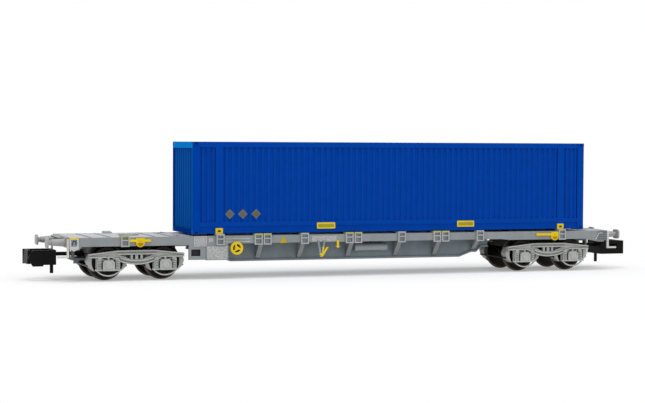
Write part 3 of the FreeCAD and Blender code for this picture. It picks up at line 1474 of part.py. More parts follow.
def handwheel():
    """Parking brake handwheel: rim, three spokes and hub on a short spindle."""
    spot = (0 - c.handwheel_place, c.handwheel_height)
    back = 0 - sill_face - c.handwheel_gap
    front = back - c.handwheel_spoke
    rim = rod("handwheel_disc", "y", c.handwheel_radius, front, back, spot, RIM)
    gap = rod("handwheel_gap", "y", c.handwheel_radius - c.handwheel_rim, front, back, spot, RIM)
    arm_face = c.handwheel_arm_set_back - sill_face
    hub = rod("handwheel_spindle", "y", c.handwheel_hub, front, arm_face, spot, THIN)
    pieces = [cut("handwheel_ring", rim, gap), hub]
    for number, angle in enumerate((90, 210, 330), start=1):
        spoke = doc.addObject("Part::Box", f"handwheel_spoke_{number}")
        bind(spoke, "Length", c.handwheel_radius - c.handwheel_rim / 2)
        bind(spoke, "Width", c.handwheel_spoke)
        bind(spoke, "Height", c.handwheel_spoke)
        spoke.Placement = Placement(Vector(), Rotation(Vector(0, 1, 0), -angle))
        pieces.append(place(spoke, spot[0], front, spot[1]))
    return fuse("handwheel_near", *pieces)


def changeover_levers(out):
    """A long bar over a round-bottomed plate, at each end."""
    made = []
    z = c.lever_height
    lobe_z = z - c.lever_lobe_drop
    rows = (
        ("left", c.lever_left, c.lever_short, c.lever_short),
        ("right", c.lever_right, c.lever_long, c.lever_tail),
    )
    for name, x, left, right in rows:
        bar = box(f"lever_bar_{name}", (x - left, x + right), out, (z, z + c.lever_bar))
        plate_x = (x - c.lever_lobe, x + c.lever_lobe)
        plate_z = (z - c.lever_plate_drop, z + c.lever_plate_rise)
        plate = box(f"lever_plate_{name}", plate_x, out, plate_z)
        lobe = rod(f"lever_lobe_{name}", "y", c.lever_lobe, *out, (x, lobe_z), RIM)
        made.append(fuse(f"brake_lever_{name}", bar, plate, lobe))
    return made


def brake_levers():
    """Changeover levers on the near sill, and the brake shaft's hanger with its short lever."""
    out = (0 - sill_face - c.lever_thickness, 0 - sill_face)
    made = changeover_levers(out)
    x = 0 - c.hanger_place
    foot = c.hanger_foot
    hanger = body("shaft_hanger")
    legs = [
        (x - c.hanger_half, c.hanger_root),
        (x - foot, c.hanger_apex),
        (x + foot, c.hanger_apex),
        (x + c.hanger_half, c.hanger_root),
        (x + c.hanger_half - c.hanger_bar, c.hanger_root),
        (x, c.hanger_apex + c.hanger_bar),
        (x - c.hanger_half + c.hanger_bar, c.hanger_root),
    ]
    slab(hanger, "hanger_legs", "XZ", legs, *out)
    short = [
        (x - foot, c.hanger_apex - foot),
        (x + foot, c.hanger_apex - foot),
        (0 - c.empty_lever_top, c.empty_lever_rise),
        (0 - c.empty_lever_top - c.hanger_bar, c.empty_lever_rise),
    ]
    slab(hanger, "short_lever", "XZ", short, *out)
    made.append(hanger)
    pointer = body("lever_pointer")
    tip = 0 - c.pointer_place
    head_z = c.pointer_bottom + c.pointer_head
    arrow = [
        (tip, c.pointer_bottom),
        (tip + c.pointer_head, head_z),
        (tip + c.pointer_half, head_z),
        (tip + c.pointer_half, c.hanger_root),
        (tip - c.pointer_half, c.hanger_root),
        (tip - c.pointer_half, head_z),
        (tip - c.pointer_head, head_z),
    ]
    slab(pointer, "pointer_plate", "XZ", arrow, *out)
    made.append(pointer)
    return gather("brake_levers_near", made)


def air_reservoir():
    """Tank outside the near girder, held by two straps."""
    y = 0 - girder_outside - c.tank_radius - c.tank_gap
    start = c.tank_start
    end = start + c.tank_length
    pieces = [rod("tank_shell", "x", c.tank_radius, start, end, (y, c.tank_height))]
    half = c.tank_radius + c.tank_strap_proud
    z = (c.tank_height - half, c.tank_height + half)
    places = (start + c.tank_strap_inset, end - c.tank_strap_inset - c.tank_strap)
    for number, x in enumerate(places, start=1):
        pieces.append(box(f"tank_strap_{number}", (x, x + c.tank_strap), (y, 0 - girder_outside), z))
    return fuse("air_reservoir", *pieces)


def brake_cylinder():
    """Brake cylinder and its push rod between two cross bearers."""
    start = 0 - c.bearer_pitch_middle + c.bearer_wall / 2
    end = 0 - c.bearer_pitch_inner - c.bearer_wall / 2
    across = (0, c.cylinder_height)
    barrel = rod("cylinder_barrel", "x", c.cylinder_radius, start, start + c.cylinder_length, across)
    push = rod("cylinder_rod", "x", c.cylinder_push_rod, start, end, across, THIN)
    return fuse("brake_cylinder", barrel, push)


def corner_bars():
    """Square bars down the headstock's two corners, each with a foot that points outward; left."""
    made = []
    bar = c.corner_bar
    bottom = c.corner_bar_bottom
    profile = [
        (0 - c.corner_bar_reach, bottom),
        (0 - frame_end, bottom),
        (0 - frame_end, c.corner_bar_top),
        (0 - frame_end - bar, c.corner_bar_top),
        (0 - frame_end - bar, bottom + c.corner_bar_foot),
        (0 - c.corner_bar_reach, bottom + c.corner_bar_foot),
    ]
    for side, low, high in (("near", 0 - sill_face, bar - sill_face), ("far", sill_face - bar, sill_face)):
        made.append(body(f"corner_bar_{side}"))
        slab(made[-1], f"corner_bar_profile_{side}", "XZ", profile, low, high)
    return gather("corner_bars_left", made)


def deck_grips():
    """Grating along the top of the headstock: slats between the headstock and an outer bar; left."""
    bar = c.grating_bar
    outer = 0 - frame_end - c.grating_reach
    z = (c.grating_top - bar, c.grating_top)
    pieces = [box("grating_rail", (outer, outer + bar), (0 - c.grating_half, c.grating_half), z)]
    spacing = (c.grating_half * 2 - bar) / (GRATING_SLATS - 1)
    for number in range(GRATING_SLATS):
        start = spacing * number - c.grating_half
        pieces.append(box(f"grating_slat_{number + 1}", (outer, 0 - frame_end), (start, start + bar), z))
    return fuse("deck_grips_left", *pieces)


# ---------------------------------------------------------------- assembly

def underframe():
    across = (
        (belly_girder, "belly_girder_far"),
        (outriggers, "outriggers_far"),
    )
    half_round = (
        (side_sill, "side_sill_far"),
        (spigot_brackets, "spigot_brackets_far"),
        (side_panel, "side_panel_far"),
        (handwheel, "handwheel_far"),
        (brake_levers, "brake_levers_far"),
    )
    along = (
        (end_deck, "end_deck_right"),
        (bolster, "bolster_right"),
        (pivot_screw, "pivot_screw_right"),
        (headstock, "headstock_right"),
        (buffers, "buffers_right"),
        (corner_bars, "corner_bars_right"),
        (deck_grips, "deck_grips_right"),
    )
    for maker, name in across:
        node(mirror(name, node(maker()), ACROSS))
    for maker, name in half_round:
        node(turned(name, node(maker())))
    for maker, name in along:
        node(mirror(name, node(maker()), ALONG))
    for maker in (cross_bearers, air_reservoir, brake_cylinder, spigots):
        node(maker())


def bogies():
    frame = node(bogie_frame())
    node(turned("bogie_right_frame", frame))
    side = node(bearing_holes(bogie_side()))
    far = node(mirror("bogie_left_side_far", side, ACROSS))
    node(turned("bogie_right_side_near", far))
    node(turned("bogie_right_side_far", side))
    brakes = node(brake_gear())
    node(turned("bogie_right_brakes", brakes))
    number = 0
    for pivot in (0 - pivot_x, pivot_x):
        for offset in (0 - axle_x, axle_x):
            number += 1
            node(axle(f"axle_{number}", pivot + offset))
            node(wheels(f"wheels_{number}", pivot + offset))


def couplings():
    node(turned("coupling_right", node(coupling())))


def container():
    near = node(container_side())
    node(mirror("container_side_far", near, ACROSS))
    for maker in (front_wall, door_frame, doors, lock_rods, roof, floor, corner_castings, fittings):
        node(maker())


def checked():
    """Stop if any object failed, or any sub-part has no valid solid."""
    doc.recompute()
    for made in doc.Objects:
        if "Invalid" in made.State or "Error" in made.State:
            raise RuntimeError(f"{made.Label} failed: {made.State}")
    for made in nodes:
        if made.Shape.isNull() or not made.Shape.isValid() or not made.Shape.Solids:
            raise RuntimeError(f"{made.Label} has no valid solid")


def export():
    os.makedirs("parts", exist_ok=True)
    for made in nodes:
        made.Shape.exportStep(f"parts/{made.Label}.step")
        print(made.Label, len(made.Shape.Solids), round(made.Shape.Volume, 3))


underframe()
bogies()
couplings()
container()
checked()
export()
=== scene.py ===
"""Looks for a model container flatcar at 1:160.

First come the materials of the CAD nodes, then the pieces that the CAD leaves out, such as printed
marks, fasteners, pipes and springs, and last the floor, light and camera. Shapes are given in
millimetres. X runs along the wagon, Y away from the camera and Z up, so the near side is at minus Y.
"""

import json
import math

import bmesh
import bpy
from mathutils import Matrix, Vector

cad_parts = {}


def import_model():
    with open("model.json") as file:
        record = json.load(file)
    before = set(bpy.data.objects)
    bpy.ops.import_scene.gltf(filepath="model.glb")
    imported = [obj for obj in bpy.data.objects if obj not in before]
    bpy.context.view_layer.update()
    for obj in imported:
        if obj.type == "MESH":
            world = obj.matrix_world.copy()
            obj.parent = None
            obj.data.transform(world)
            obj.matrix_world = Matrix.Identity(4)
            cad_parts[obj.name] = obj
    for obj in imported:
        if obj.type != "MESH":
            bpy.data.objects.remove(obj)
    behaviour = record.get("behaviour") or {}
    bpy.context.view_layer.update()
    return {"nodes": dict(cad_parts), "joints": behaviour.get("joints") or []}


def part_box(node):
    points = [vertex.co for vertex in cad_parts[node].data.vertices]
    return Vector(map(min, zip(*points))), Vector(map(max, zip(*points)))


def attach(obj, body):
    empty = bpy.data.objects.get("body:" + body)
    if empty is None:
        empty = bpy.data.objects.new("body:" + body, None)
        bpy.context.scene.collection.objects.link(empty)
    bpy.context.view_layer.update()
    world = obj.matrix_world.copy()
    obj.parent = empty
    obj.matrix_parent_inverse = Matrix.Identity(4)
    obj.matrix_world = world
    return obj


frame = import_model()
nodes = frame["nodes"]

MM = 0.001
X, Y, Z = 0, 1, 2
ENDS = (-1, 1)
SIDES = (("near", -1), ("far", 1))


# ---------------------------------------------------------------- measures read from the frame

def low(node):
    """Lowest corner of a CAD node, in millimetres."""
    return Vector(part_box(node)[0]) / MM


def high(node):
    """Highest corner of a CAD node, in millimetres."""
    return Vector(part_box(node)[1]) / MM


def middle(node):
    """Middle of a CAD node's box, in millimetres."""
    return (low(node) + high(node)) / 2


# ---------------------------------------------------------------- colours and shader nodes

def paint(red, green, blue):
    """Linear colour from the usual 0 to 255 values."""
    def linear(value):
        share = value / 255
        return share / 12.92 if share <= 0.04045 else ((share + 0.055) / 1.055) ** 2.4

    return (linear(red), linear(green), linear(blue), 1.0)


def shaded(color, factor):
    """The colour made darker, or lighter where the factor is over 1."""
    return tuple(min(1.0, part * factor) for part in color[:3]) + (1.0,)


# scales of the noise, in cells to a metre
PATCHES = 420.0
METAL_PATCHES = 500.0
RINGS = 6000.0
GRAIN = 9000.0
SPECKLES = 9500.0

# millimetres: how deep the bumps are, and how round edges look on mouldings and on metal
BUMP_DEPTH = 0.01
SOFT_EDGE = 0.07
SOFT_METAL_EDGE = 0.06


class Graph:
    """The shader nodes of a material or world, made and joined in one line each."""

    def __init__(self, owner):
        self.owner = owner
        owner.use_nodes = True
        self.tree = owner.node_tree
        self.tree.nodes.clear()

    def add(self, kind, inputs=None, **settings):
        """A new node; an input is a number, a colour or the output of another node."""
        node = self.tree.nodes.new("ShaderNode" + kind)
        for key, value in settings.items():
            setattr(node, key, value)
        for key, value in (inputs or {}).items():
            if isinstance(value, bpy.types.NodeSocket):
                self.tree.links.new(value, node.inputs[key])
            else:
                node.inputs[key].default_value = value
        return node

    def math(self, operation, first, second=0.0):
        return self.add("Math", {0: first, 1: second}, operation=operation).outputs[0]

    def spread(self, value, before, after):
        """The value moved from one range to another, and held inside it."""
        inputs = {
            "Value": value,
            "From Min": before[0],
            "From Max": before[1],
            "To Min": after[0],
            "To Max": after[1],
        }
        return self.add("MapRange", inputs).outputs[0]

    def blend(self, factor, first, second):
        mix = self.add("Mix", {0: factor, 6: first, 7: second}, data_type="RGBA")
        return mix.outputs[2]

    def patchy(self, patches, color, tone):
        """A colour that is a little darker in some patches and lighter in others."""
        return self.blend(patches, shaded(color, 1 - tone), shaded(color, 1 + tone))

    def relit(self, factor, base, value, saturation):
        """The colour made lighter or darker where the factor is 1."""
        inputs = {"Value": value, "Saturation": saturation, "Color": base}
        return self.blend(factor, base, self.add("HueSaturation", inputs).outputs[0])

    def noise(self, scale, detail, vector=None):
        where = vector or self.place()
        return self.add("TexNoise", {"Vector": where, "Scale": scale, "Detail": detail}).outputs[0]

    def place(self):
        return self.add("TexCoord").outputs["Object"]

    def normal(self):
        return self.add("NewGeometry").outputs["Normal"]

    def along(self, axis):
        """One object coordinate in millimetres."""
        split = self.add("SeparateXYZ", {0: self.place()})
        return self.math("MULTIPLY", split.outputs[axis], 1 / MM)

    def between(self, axis, start, end):
        """1 where the coordinate lies between two places, else 0."""
        value = self.along(axis)
        above = self.math("GREATER_THAN", value, start)
        below = self.math("LESS_THAN", value, end)
        return self.math("MULTIPLY", above, below)

    def inside(self, zones):
        """1 where every zone holds, else 0."""
        mask = 1.0
        for axis, start, end in zones:
            mask = self.math("MULTIPLY", self.between(axis, start, end), mask)
        return mask

    def slanted(self):
        """1 on faces that lie aslant to Y, such as the sides of a wall's ribs, else 0."""
        facing = self.add("SeparateXYZ", {0: self.normal()})
        slant = self.math("ABSOLUTE", facing.outputs[Y])
        clear_of_flat = self.math("GREATER_THAN", slant, 0.2)
        clear_of_square = self.math("LESS_THAN", slant, 0.97)
        return self.math("MULTIPLY", clear_of_flat, clear_of_square)

    def rounded(self, radius):
        return self.add("Bevel", {"Radius": radius * MM}, samples=4).outputs[0]

    def edges(self, radius):
        """1 on sharp outer and inner edges, 0 on flat faces."""
        inputs = {0: self.rounded(radius), 1: self.normal()}
        facing = self.add("VectorMath", inputs, operation="DOT_PRODUCT").outputs["Value"]
        return self.spread(facing, (0.98, 0.75), (0.0, 1.0))

    def recesses(self, reach):
        """1 deep in corners, 0 in the open."""
        inputs = {"Distance": reach * MM}
        open_share = self.add("AmbientOcclusion", inputs, samples=6).outputs["AO"]
        return self.spread(open_share, (0.75, 0.25), (0.0, 1.0))

    def bumped(self, height, strength, edge):
        """Normals of a fine relief, with the edges softly rounded."""
        inputs = {
            "Strength": strength,
            "Distance": BUMP_DEPTH * MM,
            "Height": height,
            "Normal": self.rounded(edge),
        }
        return self.add("Bump", inputs).outputs[0]

    def finish(self, color, rough, normal, metal=0.0, specular=0.5):
        inputs = {
            "Base Color": color,
            "Roughness": rough,
            "Metallic": metal,
            "Specular IOR Level": specular,
            "Normal": normal,
        }
        surface = self.add("BsdfPrincipled", inputs)
        self.add("OutputMaterial", {"Surface": surface.outputs[0]})
        return self.owner


# ---------------------------------------------------------------- the two kinds of material

def moulding(
    name,
    color,
    rough=0.5,
    specular=0.3,
    tone=0.08,
    edge=0.25,
    recess=0.35,
    marks=(),
    speckle=None,
    flanks=None,
    reach=0.12,
):
    """Painted or moulded plastic: soft patches, fine grain, lighter edges, darker corners.

    Edges are lighter with wear and a painted highlight, and corners darker with dirt and painted
    shade. Each mark is (color, zones), where zones are (axis, start, end) in millimetres and all of
    them hold. A speckle is a second colour in small uneven spots, flanks is a colour of painted
    highlight for slanted rib sides, and reach is how far the lighter edges run in.
    """
    graph = Graph(bpy.data.materials.new(name))
    patches = graph.spread(graph.noise(PATCHES, 4.0), (0.3, 0.7), (0.0, 1.0))
    base = graph.patchy(patches, color, tone)
    if speckle:
        spots = graph.spread(graph.noise(SPECKLES, 3.0), (0.4, 0.6), (0.0, 0.75))
        base = graph.blend(spots, base, speckle)
    for mark, zones in marks:
        base = graph.blend(graph.inside(zones), base, graph.patchy(patches, mark, tone))
    if flanks:
        base = graph.blend(graph.slanted(), base, flanks)
    # edges lighter: wear, and a painted highlight
    wear_and_highlight = graph.math("MULTIPLY", graph.edges(reach), edge)
    base = graph.relit(wear_and_highlight, base, 1.5, 0.92)
    # corners darker: dirt, and painted shade deep in recesses
    dirt_and_shade = graph.math("MULTIPLY", graph.recesses(0.9), recess)
    base = graph.relit(dirt_and_shade, base, 0.35, 0.9)
    grain = graph.noise(GRAIN, 3.0)
    bumped = graph.bumped(grain, 0.25, SOFT_EDGE)
    roughness = graph.spread(grain, (0.3, 0.7), (rough - 0.06, rough + 0.06))
    return graph.finish(base, roughness, bumped, specular=specular)


def turned_metal(name, color, centre=(0, 0, 0), worn_color=None, worn_from=0.0):
    """Metal turned about an axis along Y: fine rings, and bright with wear outside one radius."""
    graph = Graph(bpy.data.materials.new(name))
    split = graph.add("SeparateXYZ", {0: graph.place()})
    squares = []
    for axis in (X, Z):
        offset = graph.math("SUBTRACT", split.outputs[axis], centre[axis] * MM)
        squares.append(graph.math("POWER", offset, 2.0))
    radius = graph.math("SQRT", graph.math("ADD", *squares))
    across = graph.add("CombineXYZ", {0: radius, 1: split.outputs[Y]}).outputs[0]
    rings = graph.noise(RINGS, 2.0, across)
    base = color
    if worn_color:
        band = ((worn_from - 0.12) * MM, (worn_from - 0.02) * MM)
        base = graph.blend(graph.spread(radius, band, (0.0, 1.0)), base, worn_color)
    dark = graph.spread(graph.noise(METAL_PATCHES, 4.0), (0.35, 0.65), (0.0, 0.45))
    base = graph.blend(dark, base, shaded(color, 0.5))
    # darker deep in recesses: grime, and painted shade
    grime_and_shade = graph.math("MULTIPLY", graph.recesses(0.8), 0.6)
    base = graph.blend(grime_and_shade, base, shaded(color, 0.25))
    bumped = graph.bumped(rings, 0.2, SOFT_METAL_EDGE)
    roughness = graph.spread(rings, (0.3, 0.7), (0.27, 0.45))
    return graph.finish(base, roughness, bumped, metal=0.85)


# ---------------------------------------------------------------- colours and materials

GREY = paint(155, 161, 163)
GIRDER = paint(136, 148, 153)
BOGIE = paint(196, 198, 195)
BUFFER = paint(178, 178, 178)
PALE = paint(214, 216, 214)
MOTTLED = paint(126, 128, 130)
BRACKET = paint(186, 191, 192)
DECK = paint(196, 200, 202)
TANK = paint(168, 176, 178)
BOX_FACE = paint(150, 162, 174)
BOX_GREY = paint(132, 137, 139)
WHITE = paint(226, 224, 216)
BLUE = paint(0, 72, 178)
# the front wall's painted shade and painted highlights
SHADED_WALL_BLUE = paint(0, 63, 158)
RIB_HIGHLIGHT = paint(22, 104, 192)
HEADER_HIGHLIGHT = paint(12, 143, 238)
YELLOW = paint(250, 216, 10)
MARK_YELLOW = paint(214, 182, 40)
DULL_YELLOW = paint(176, 165, 40)
OLIVE = paint(206, 202, 70)
# amber and deep orange are painted shade on the levers and behind the handwheels
AMBER_SHADE = paint(204, 146, 12)
DEEP_ORANGE = paint(120, 62, 10)
DIAMOND = paint(112, 116, 118)
DIAMOND_HEART = paint(112, 106, 84)
SLATE = paint(74, 84, 96)
# painted shade behind the sill lattices, and at the bottom of the panel's hole
LATTICE_SHADE = paint(86, 96, 108)
HOLE_SHADE = paint(30, 34, 46)
BLACK = paint(16, 16, 18)
DARK = paint(34, 35, 37)
BROWN = paint(38, 34, 31)
TREAD = paint(96, 88, 80)
STEEL = paint(150, 150, 152)

# edge is how strongly wear and a painted highlight lighten the edges, and recess how strongly dirt
# and painted shade darken the corners
frame_grey = moulding("frame_grey", GREY)
girder_grey = moulding("girder_grey", GIRDER, tone=0.1)
bogie_grey = moulding("bogie_grey", BOGIE, rough=0.42, tone=0.06, edge=0.7, recess=0.95, reach=0.2)
deck_grey = moulding("deck_grey", DECK, tone=0.05)
tank_grey = moulding("tank_grey", TANK, tone=0.05)
buffer_grey = moulding("buffer_grey", BUFFER, rough=0.4, tone=0.05)
pale_print = moulding("pale_print", PALE, edge=0.1)
mottled_print = moulding("mottled_print", PALE, rough=0.55, edge=0.1, speckle=MOTTLED)
white_print = moulding("white_print", WHITE, rough=0.45, edge=0.1)
container_blue = moulding("container_blue", BLUE, rough=0.42, specular=0.03, tone=0.05, recess=0.2)
yellow = moulding("signal_yellow", YELLOW, rough=0.45, recess=0.4)
mark_yellow = moulding("mark_yellow", MARK_YELLOW, specular=0.1, edge=0.1)
dull_yellow = moulding("plate_yellow", DULL_YELLOW, specular=0.2, recess=0.2)
amber_shade = moulding("recess_amber", AMBER_SHADE, specular=0.1, edge=0.1)
deep_orange = moulding("deep_orange", DEEP_ORANGE, specular=0.1, edge=0.1)
diamond_grey = moulding("diamond_grey", DIAMOND, rough=0.55, specular=0.2, edge=0.1)
dull_grey = moulding("dull_grey", DIAMOND_HEART, rough=0.55, specular=0.2, edge=0.1)
slate_print = moulding("slate_print", SLATE, specular=0.2, edge=0.2)
lattice_shade = moulding("lattice_shade", LATTICE_SHADE, specular=0.2, edge=0.2)
black_plastic = moulding("black_plastic", BLACK, specular=0.1, edge=0.15, recess=0.2)
rubber = moulding("black_rubber", BLACK, rough=0.6, specular=0.15, edge=0.15, recess=0.2)
steel = turned_metal("bolt_steel", STEEL)

# the front wall: a light header band of painted highlight, and darker sheet of painted shade
# between ribs with painted highlight on their slanted sides, and a painted highlight on the near
# edge; the wall's outer face is at its left end
HEADER_FLOOR = high("container_front_wall").z - 1.25
WALL_FACE = (X, -40, low("container_front_wall").x + 0.12)
BELOW_HEADER = (Z, 0, HEADER_FLOOR)
WALL_MARKS = (
    (HEADER_HIGHLIGHT, ((Z, HEADER_FLOOR, 40), (Y, -7.5, 7.5), WALL_FACE)),
    (SHADED_WALL_BLUE, (BELOW_HEADER, (Y, -7.1, 7.7))),
    (RIB_HIGHLIGHT, (BELOW_HEADER, (Y, -7.5, -6.9), WALL_FACE)),
)
front_blue = moulding(
    "container_front_blue",
    BLUE,
    specular=0.0,
    tone=0.05,
    recess=0.7,
    flanks=RIB_HIGHLIGHT,
    marks=WALL_MARKS,
)

# yellowish tops of some brackets, and one pale box with a blue-grey face and a yellow top
BRACKET_TOP = (Z, 8.6, 8.84)
END_BOX = (X, -58, -55.8)
BRACKET_MARKS = (
    (OLIVE, (BRACKET_TOP, (X, -2, 2))),
    (OLIVE, (BRACKET_TOP, (X, -21.2, -17.2))),
    (OLIVE, (BRACKET_TOP, (X, 17.2, 21.2))),
    (OLIVE, (BRACKET_TOP, (X, -50, -45))),
    (PALE, (END_BOX,)),
    (BOX_FACE, ((X, -57.5, -56.25), (Y, -8.5, -8.3), (Z, 6.8, 8.3))),
    (YELLOW, ((Z, 8.3, 10), END_BOX)),
)
# in order: painted shade at the bottom of the panel's hole, the grey hanger among the levers,
# painted shade in the eyes of the yellow fittings, the grey ends of the coupling boxes, and painted
# shade in the slots of the gratings
PANEL_MARKS = ((HOLE_SHADE, ((X, -33.9, -31.9), (Y, -8.25, -7), (Z, 4.6, 6.0))),)
HANGER_MARKS = (
    (GREY, ((X, -9, -6.75), (Z, 4.75, 8))),
    (GREY, ((X, -9, -6.0), (Z, 6.05, 8))),
)
EYE_RISE = (Z, 8.9, 9.9)
# the fittings' dark eyes are painted shade
FITTING_MARKS = ((BROWN, (EYE_RISE, (Y, -7.6, -7.3))), (BROWN, (EYE_RISE, (Y, 7.3, 7.6))))
COUPLING_BOX_MARKS = ((BOX_GREY, ((X, -60, -52.3),)), (BOX_GREY, ((X, 52.3, 60),)))
# the gratings' dark slots are painted shade
GRATING_MARKS = ((BLACK, ((Z, 8.0, 8.36),)),)


def mirrored(zones, way):
    """The same zones on the other diagonal half of the wagon if way is 1."""
    made = []
    for axis, start, end in zones:
        made.append((axis, start, end) if way < 0 or axis == Z else (axis, -end, -start))
    return tuple(made)


def marked(name, color, marks, **looks):
    """A moulding for near parts and one for far parts, with the marks turned half round."""
    made = {}
    for side, way in SIDES:
        placed = tuple((mark, mirrored(zones, way)) for mark, zones in marks)
        made[side] = moulding(f"{name}_{side}", color, marks=placed, **looks)
    return made


bracket_paint = marked("bracket_grey", BRACKET, BRACKET_MARKS)
panel_paint = marked("panel_grey", GREY, PANEL_MARKS)
lever_paint = marked("lever_yellow", YELLOW, HANGER_MARKS, rough=0.45, recess=0.4)
fitting_yellow = moulding("fitting_yellow", YELLOW, rough=0.45, recess=0.5, marks=FITTING_MARKS)
grating_grey = moulding("grating_grey", DECK, recess=0.8, marks=GRATING_MARKS)
frame_black = moulding(
    "bogie_black",
    DARK,
    rough=0.55,
    specular=0.2,
    edge=0.3,
    marks=COUPLING_BOX_MARKS,
)

# the first row whose text starts a node's name gives its material
FINISHES = (
    ("container_spigots", frame_grey),
    ("container_front_wall", front_blue),
    ("container_fittings", fitting_yellow),
    ("container_", container_blue),
    ("belly_girder", girder_grey),
    ("cross_bearers", girder_grey),
    ("air_reservoir", tank_grey),
    ("brake_cylinder", tank_grey),
    ("end_deck", deck_grey),
    ("deck_grips", grating_grey),
    ("handwheel", yellow),
    ("brake_levers_near", lever_paint["near"]),
    ("brake_levers_far", lever_paint["far"]),
    ("spigot_brackets_near", bracket_paint["near"]),
    ("spigot_brackets_far", bracket_paint["far"]),
    ("side_panel_near", panel_paint["near"]),
    ("side_panel_far", panel_paint["far"]),
    ("corner_bars", white_print),
    ("buffers", buffer_grey),
    ("coupling_", black_plastic),
    ("bogie_left_frame", frame_black),
    ("bogie_right_frame", frame_black),
    ("bogie_", bogie_grey),
    ("pivot_screw", steel),
    ("", frame_grey),
)
FLANGE_WEAR = 3.4


def finish_of(node):
    """The material of a CAD node; wheels and axles have one each, turned about their own axis."""
    if node.startswith("wheels_"):
        return turned_metal(node + "_metal", BROWN, middle(node), TREAD, FLANGE_WEAR)
    if node.startswith("axle_"):
        return turned_metal(node + "_steel", STEEL, middle(node))
    return next(material for start, material in FINISHES if node.startswith(start))


for node in nodes:
    slots = nodes[node].data.materials
    slots.clear()
    slots.append(finish_of(node))


# ---------------------------------------------------------------- how pieces are made

class Piece:
    """One piece gathered from closed shapes in millimetres, which rides on a CAD body."""

    def __init__(self, name, body, material, slot):
        self.name = name
        self.body = body
        self.material = material
        self.slot = slot
        self.mesh = bmesh.new()

    def prism(self, corners, sweep):
        """An outline swept by a vector."""
        start = [self.mesh.verts.new(corner) for corner in corners]
        end = [self.mesh.verts.new(Vector(corner) + Vector(sweep)) for corner in corners]
        self.mesh.faces.new(start)
        self.mesh.faces.new(reversed(end))
        self.skin(start, end)

    def skin(self, start, end):
        """Faces between two closed loops."""
        count = len(start)
        for number in range(count):
            after = (number + 1) % count
            self.mesh.faces.new((start[number], end[number], end[after], start[after]))

    def block(self, x, y, z):
        """A box between two places on each axis."""
        corners = [(x[0], y[0], z[0]), (x[1], y[0], z[0]), (x[1], y[1], z[0]), (x[0], y[1], z[0])]
        self.prism(corners, (0, 0, z[1] - z[0]))

    def plate(self, y, thickness, outline):
        """An upright plate with its outline given as (x, z), outward from y."""
        self.prism([(x, y, z) for x, z in outline], (0, math.copysign(thickness, y), 0))

    def bolt(self, place, way, radius, height, sides=6):
        """A bolt head or boss that stands out along way."""
        way = Vector(way)
        across = way.orthogonal().normalized() * radius
        corners = []
        for number in range(sides):
            turn = Matrix.Rotation(2 * math.pi * number / sides, 3, way)
            corners.append(Vector(place) + turn @ across)
        self.prism(corners, way.normalized() * height)

    def tube(self, path, radius, sides=8, closed=False):
        """A round bar along the points of a path."""
        points = [Vector(point) for point in path]
        count = len(points)
        loops = []
        side = None
        for number, point in enumerate(points):
            before = points[number - 1] if number or closed else point
            after = points[(number + 1) % count] if number + 1 < count or closed else point
            way = (after - before).normalized()
            side = way.orthogonal() if side is None else side - way * side.dot(way)
            side = side.normalized()
            loop = []
            for corner in range(sides):
                turn = Matrix.Rotation(2 * math.pi * corner / sides, 3, way)
                loop.append(self.mesh.verts.new(point + turn @ (side * radius)))
            loops.append(loop)
        for start, end in zip(loops, loops[1:]):
            self.skin(start, end)
        if closed:
            self.skin(loops[-1], loops[0])
        else:
            self.mesh.faces.new(loops[0])
            self.mesh.faces.new(reversed(loops[-1]))

    def ring(self, centre, way, radius, wire, around=16, sides=6):
        """A closed round hoop about way."""
        way = Vector(way).normalized()
        across = way.orthogonal().normalized() * radius
        path = []
        for number in range(around):
            turn = Matrix.Rotation(2 * math.pi * number / around, 3, way)
            path.append(Vector(centre) + turn @ across)
        self.tube(path, wire, sides, closed=True)

    def turned_copy(self, name, body):
        """The same shapes turned half round about the wagon's upright middle axis."""
        other = Piece(name, body, self.material, self.slot)
        other.mesh = self.mesh.copy()
        half_turn = Matrix.Rotation(math.pi, 3, "Z")
        bmesh.ops.rotate(other.mesh, verts=other.mesh.verts, matrix=half_turn)
        return other

    def finish(self, soft):
        """Make the object, with its edges rounded by this many millimetres."""
        bmesh.ops.recalc_face_normals(self.mesh, faces=self.mesh.faces)
        bmesh.ops.scale(self.mesh, verts=self.mesh.verts, vec=(MM, MM, MM))
        data = bpy.data.meshes.new(self.name)
        self.mesh.to_mesh(data)
        self.mesh.free()
        piece = bpy.data.objects.new(self.name, data)
        bpy.context.scene.collection.objects.link(piece)
        data.materials.append(self.material)
        if soft:
            edges = piece.modifiers.new("soft edges", "BEVEL")
            edges.width = soft * MM
            edges.segments = 2
            edges.limit_method = "ANGLE"
            edges.angle_limit = math.radians(50)
        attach(piece, self.body)


def upright(left, right, bottom, top, corner=0.0):
    """An upright rectangle as (x, z) corners, with its corners cut off."""
    if not corner:
        return [(left, bottom), (right, bottom), (right, top), (left, top)]
    return [
        (left + corner, bottom),
        (right - corner, bottom),
        (right, bottom + corner),
        (right, top - corner),
        (right - corner, top),
        (left + corner, top),
        (left, top - corner),
        (left, bottom + corner),
    ]


def both_halves(piece, name, soft):
    """Finish a piece of the underframe, and its copy on the other diagonal half."""
    piece.turned_copy(name, piece.body).finish(soft)
    piece.finish(soft)


# ---------------------------------------------------------------- the container's pieces

# from the wagon's middle to the face of the rails, of the side's sheet and of the doors
SHEET_SET_BACK = 0.1
HINGE_DEPTH = 0.25
RAIL = -low("container_side_near").y
SHEET = RAIL - SHEET_SET_BACK
DOOR = high("container_doors").x - HINGE_DEPTH

PLATE_SPANS = ((-7.6, -3.7), (23.1, 26.95))
PLATE_RISE = (9.65, 10.9)
PLATE_RIM = 0.28
DIAMONDS_X = (-25.75, -23.08, -20.33)
DIAMOND_HEIGHT = 12.75
DIAMOND_SUNK = 0.25
DIAMOND_THICKNESS = 0.28

